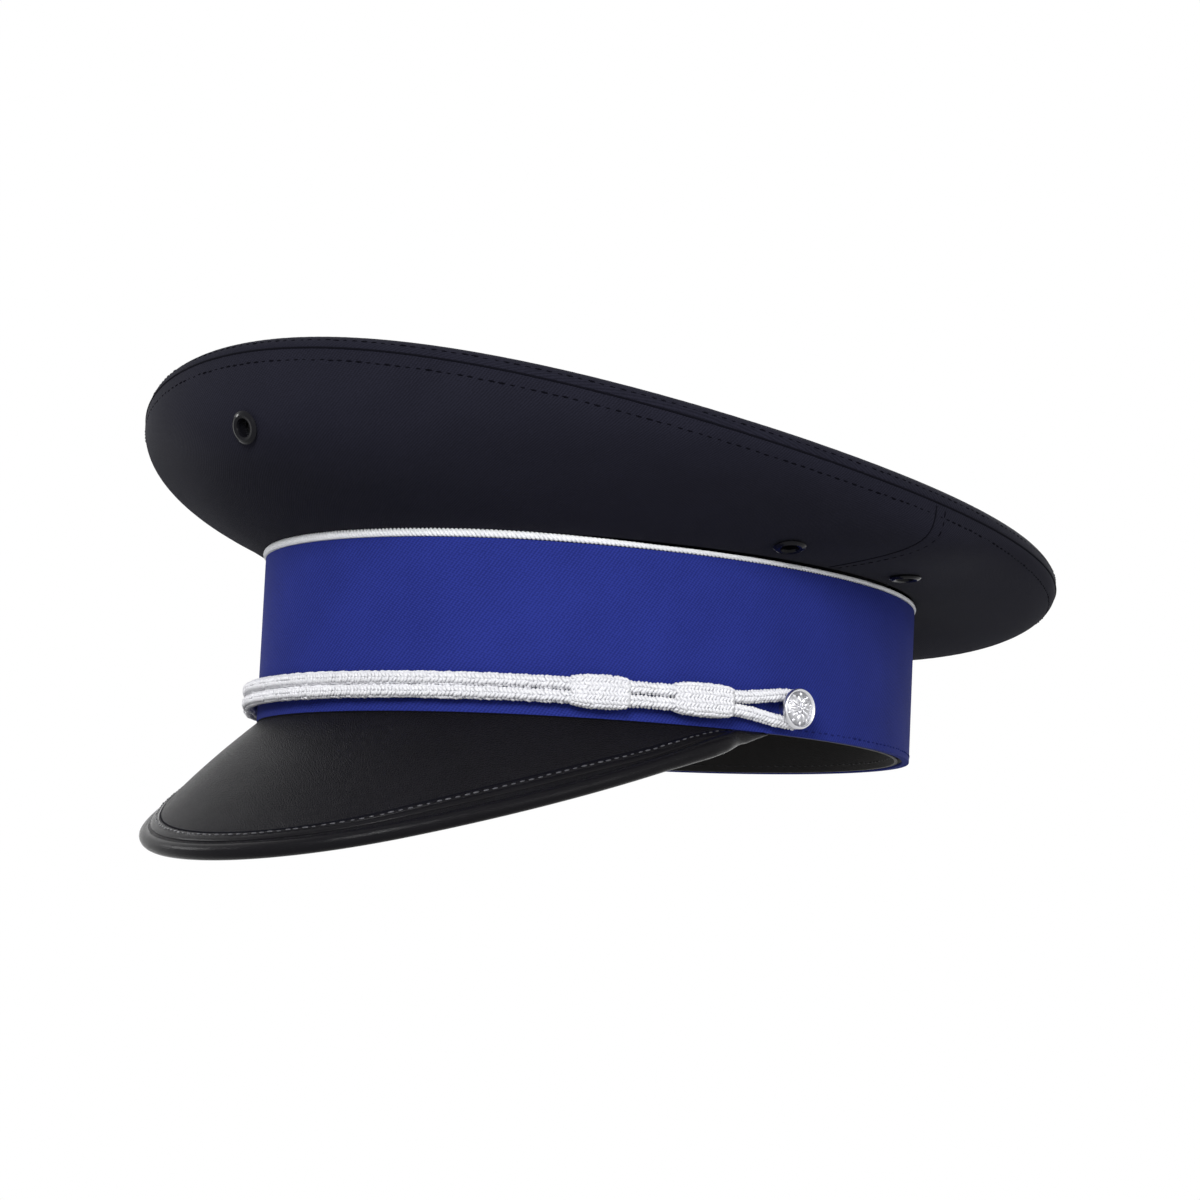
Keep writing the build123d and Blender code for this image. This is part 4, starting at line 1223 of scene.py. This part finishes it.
def rounded_ends(piece, length):
    """Draws a straight knot in towards both ends."""
    def size_at(x):
        return 1 - KNOT_DRAW * min(1.0, abs(2 * x / length - 1)) ** 3

    return swelled(piece, size_at, (KNOT_INNER + KNOT_OUTER) / 2)


def turned(profile, segments):
    """A closed turned piece about Z, from its rings' (radius, height), bottom middle first."""
    radius, height = profile[0]
    piece = primitive("circle", vertices=segments, radius=radius, fill_type="NGON",
                      location=(0, 0, height))
    with edit_mode(piece):
        for wider, higher in profile[1:]:
            up, ratio = higher - height, wider / radius
            bpy.ops.mesh.extrude_region_move(TRANSFORM_OT_translate={"value": (0, 0, up)})
            bpy.ops.transform.resize(value=(ratio, ratio, 1), center_override=(0, 0, 0))
            radius, height = wider, higher
    return ends_closed(piece)


def petals(count, reach, length, width, height, lift, start=0.0):
    """A ring of petals round Z, lying outwards at a reach from the middle."""
    droop = Matrix.Rotation(math.radians(PETAL_DROOP), 4, "Y")
    places = []
    for k in range(count):
        turn = Matrix.Rotation(math.tau * (k + start) / count, 4, "Z")
        places.append(turn @ Matrix.Translation((reach, 0, lift)) @ droop)
    return copied(grain(length, height, width, 8, 6), places)


class CAP_OT_buttons(bpy.types.Operator):
    """Press the rosette and rim into the side buttons"""

    bl_idname = "cap.buttons"
    bl_label = "Side Buttons"

    def execute(self, context):
        sizes, colours = settings(context)
        silver = metal("button_silver", colours.button, 0.3)
        tarnish = metal("button_tarnish", tuple(0.7 * c for c in colours.button), 0.4)
        angle = math.asin(-BUTTON_Y / SIDE_RADIUS)
        up, rim, count = Vector((0, 0, 1)), BUTTON_RADIUS, sizes.button_petals
        for name, side in SIDES.items():
            dress(silver, "button_metal", f"button_back_{name}", f"button_shank_{name}")
            spot, outward = side_spot(BUTTON_STAND_OFF, angle, side, STRAP_HEIGHT)
            upright = turn_to(up.cross(outward), up, outward)
            front = joined([
                turned(BUTTON_CUP, 64),
                petals(count, 0.46 * rim, 0.42 * rim, 1.0 * MM, 0.9 * MM, 2.0 * MM),
                petals(count, 0.72 * rim, 0.22 * rim, 0.85 * MM, 0.8 * MM, 1.6 * MM, 0.5),
                petals(count // 2, 0.2 * rim, 0.24 * rim, 0.75 * MM, 0.9 * MM, 2.25 * MM, 0.25),
                petals(1, 0, 1.1 * MM, 1.1 * MM, 1.0 * MM, 2.35 * MM),
            ])
            field = turned(BUTTON_DOME, 48)
            for piece, label, finish, replaces in (
                (front, f"button_front_{name}", silver, [f"button_face_{name}"]),
                (field, f"button_field_{name}", tarnish, []),
            ):
                piece.matrix_world = Matrix.Translation(spot) @ upright
                finished(settled(piece), label, f"button_{name}", finish, replaces)
        return {"FINISHED"}


class CAP_OT_stage(bpy.types.Operator):
    """Set the floor, the lights and the camera"""

    bl_idname = "cap.stage"
    bl_label = "Stage"

    def execute(self, context):
        floor = primitive("plane", size=12, location=(0, 0, -FLOOR_DEPTH))
        floor.name = "floor"
        tree = blank("floor_paper")
        seen = camera_sees(tree)
        paper = put(tree, "ShaderNodeBsdfDiffuse", {"Color": (0.5, 0.5, 0.5, 1)})
        white = put(tree, "ShaderNodeEmission", {"Color": (1, 1, 1, 1), "Strength": 1.0})
        away = from_middle(tree, object_spot(tree))
        far = put(tree, "ShaderNodeMapRange", {"Value": away, "From Min": 0.35, "From Max": 1.0,
                                               "To Min": 0.6, "To Max": 1.0}).outputs[0]
        mix = put(tree, "ShaderNodeMixShader",
                  {0: maths(tree, "MULTIPLY", seen, far), 1: paper.outputs[0], 2: white.outputs[0]})
        beneath = put(tree, "ShaderNodeNewGeometry").outputs["Backfacing"]
        clear = put(tree, "ShaderNodeBsdfTransparent")
        both = put(tree, "ShaderNodeMixShader",
                   {0: beneath, 1: mix.outputs[0], 2: clear.outputs[0]})
        put(tree, "ShaderNodeOutputMaterial", {"Surface": both.outputs[0]})
        floor.data.materials.append(bpy.data.materials["floor_paper"])
        world = bpy.data.worlds.new("studio")
        context.scene.world = world
        world.use_nodes = True
        sky = world.node_tree
        sky.nodes.clear()
        strength = maths(sky, "MULTIPLY_ADD", camera_sees(sky), 0.72, 0.28)
        light = put(sky, "ShaderNodeBackground", {"Color": (1, 1, 1, 1), "Strength": strength})
        put(sky, "ShaderNodeOutputWorld", {"Surface": light.outputs[0]})
        for each in LAMPS:
            lamp(*each)
        camera()
        context.scene.view_settings.view_transform = "Standard"
        return {"FINISHED"}


def camera_sees(tree):
    """1 for rays that show the background: the camera's, mirrored and transmitted ones."""
    path = put(tree, "ShaderNodeLightPath").outputs
    either = maths(tree, "MAXIMUM", path["Is Camera Ray"], path["Is Glossy Ray"])
    return maths(tree, "MAXIMUM", either, path["Is Transmission Ray"])


def lamp(name, place, size, power):
    """A square soft light that faces the cap."""
    bpy.ops.object.light_add(type="AREA", location=place)
    light = bpy.context.object
    light.name = name
    light.data.size = size
    light.data.energy = power
    aim = Vector((0, 0, 0.04)) - Vector(place)
    light.rotation_euler = aim.to_track_quat("-Z", "Y").to_euler()


def camera():
    """The camera, in front of the cap's left side and a little below it."""
    turn, rise, roll = math.radians(42), math.radians(-6.43), math.radians(2.68)
    distance, target = 1.1, Vector((0, 0, 40 * MM))
    level = Vector((math.sin(turn), -math.cos(turn), 0))
    back = level * math.cos(rise) + Vector((0, 0, math.sin(rise)))
    right = Vector((math.cos(turn), math.sin(turn), 0))
    up = back.cross(right)
    turned_right = right * math.cos(roll) + up * math.sin(roll)
    turned_up = up * math.cos(roll) - right * math.sin(roll)
    bpy.ops.object.camera_add()
    view = bpy.context.object
    view.matrix_world = (Matrix.Translation(target + back * distance)
                         @ turn_to(turned_right, turned_up, back))
    view.data.sensor_width = 36
    view.data.lens = 113.7
    view.data.shift_x = 0.0041
    view.data.shift_y = 0.0063
    view.data.clip_start = 0.01
    bpy.context.scene.camera = view


class CAP_PT_panel(bpy.types.Panel):
    """The cap's pieces and what can be changed about them"""

    bl_idname = "CAP_PT_panel"
    bl_label = "Peaked Cap"
    bl_space_type = "VIEW_3D"
    bl_region_type = "UI"
    bl_category = "Peaked Cap"

    def draw(self, context):
        layout = self.layout
        for group in settings(context):
            box = layout.box()
            for name in group.__annotations__:
                box.prop(group, name)
        column = layout.column(align=True)
        for operator in OPERATORS:
            column.operator(operator.bl_idname)


OPERATORS = (
    CAP_OT_crown,
    CAP_OT_crown_stitching,
    CAP_OT_eyelets,
    CAP_OT_band,
    CAP_OT_piping,
    CAP_OT_inside,
    CAP_OT_visor,
    CAP_OT_chin_cords,
    CAP_OT_knots,
    CAP_OT_buttons,
    CAP_OT_stage,
)
CLASSES = (CapSizes, CapColours, *OPERATORS, CAP_PT_panel)


def register():
    for each in CLASSES:
        bpy.utils.register_class(each)
    bpy.types.Scene.peaked_cap_sizes = PointerProperty(type=CapSizes)
    bpy.types.Scene.peaked_cap_colours = PointerProperty(type=CapColours)


def unregister():
    del bpy.types.Scene.peaked_cap_colours
    del bpy.types.Scene.peaked_cap_sizes
    for each in reversed(CLASSES):
        bpy.utils.unregister_class(each)


def main():
    register()
    bpy.ops.object.select_all(action="DESELECT")
    for operator in OPERATORS:
        group, name = operator.bl_idname.split(".")
        getattr(getattr(bpy.ops, group), name)()


if __name__ == "__main__":
    main()
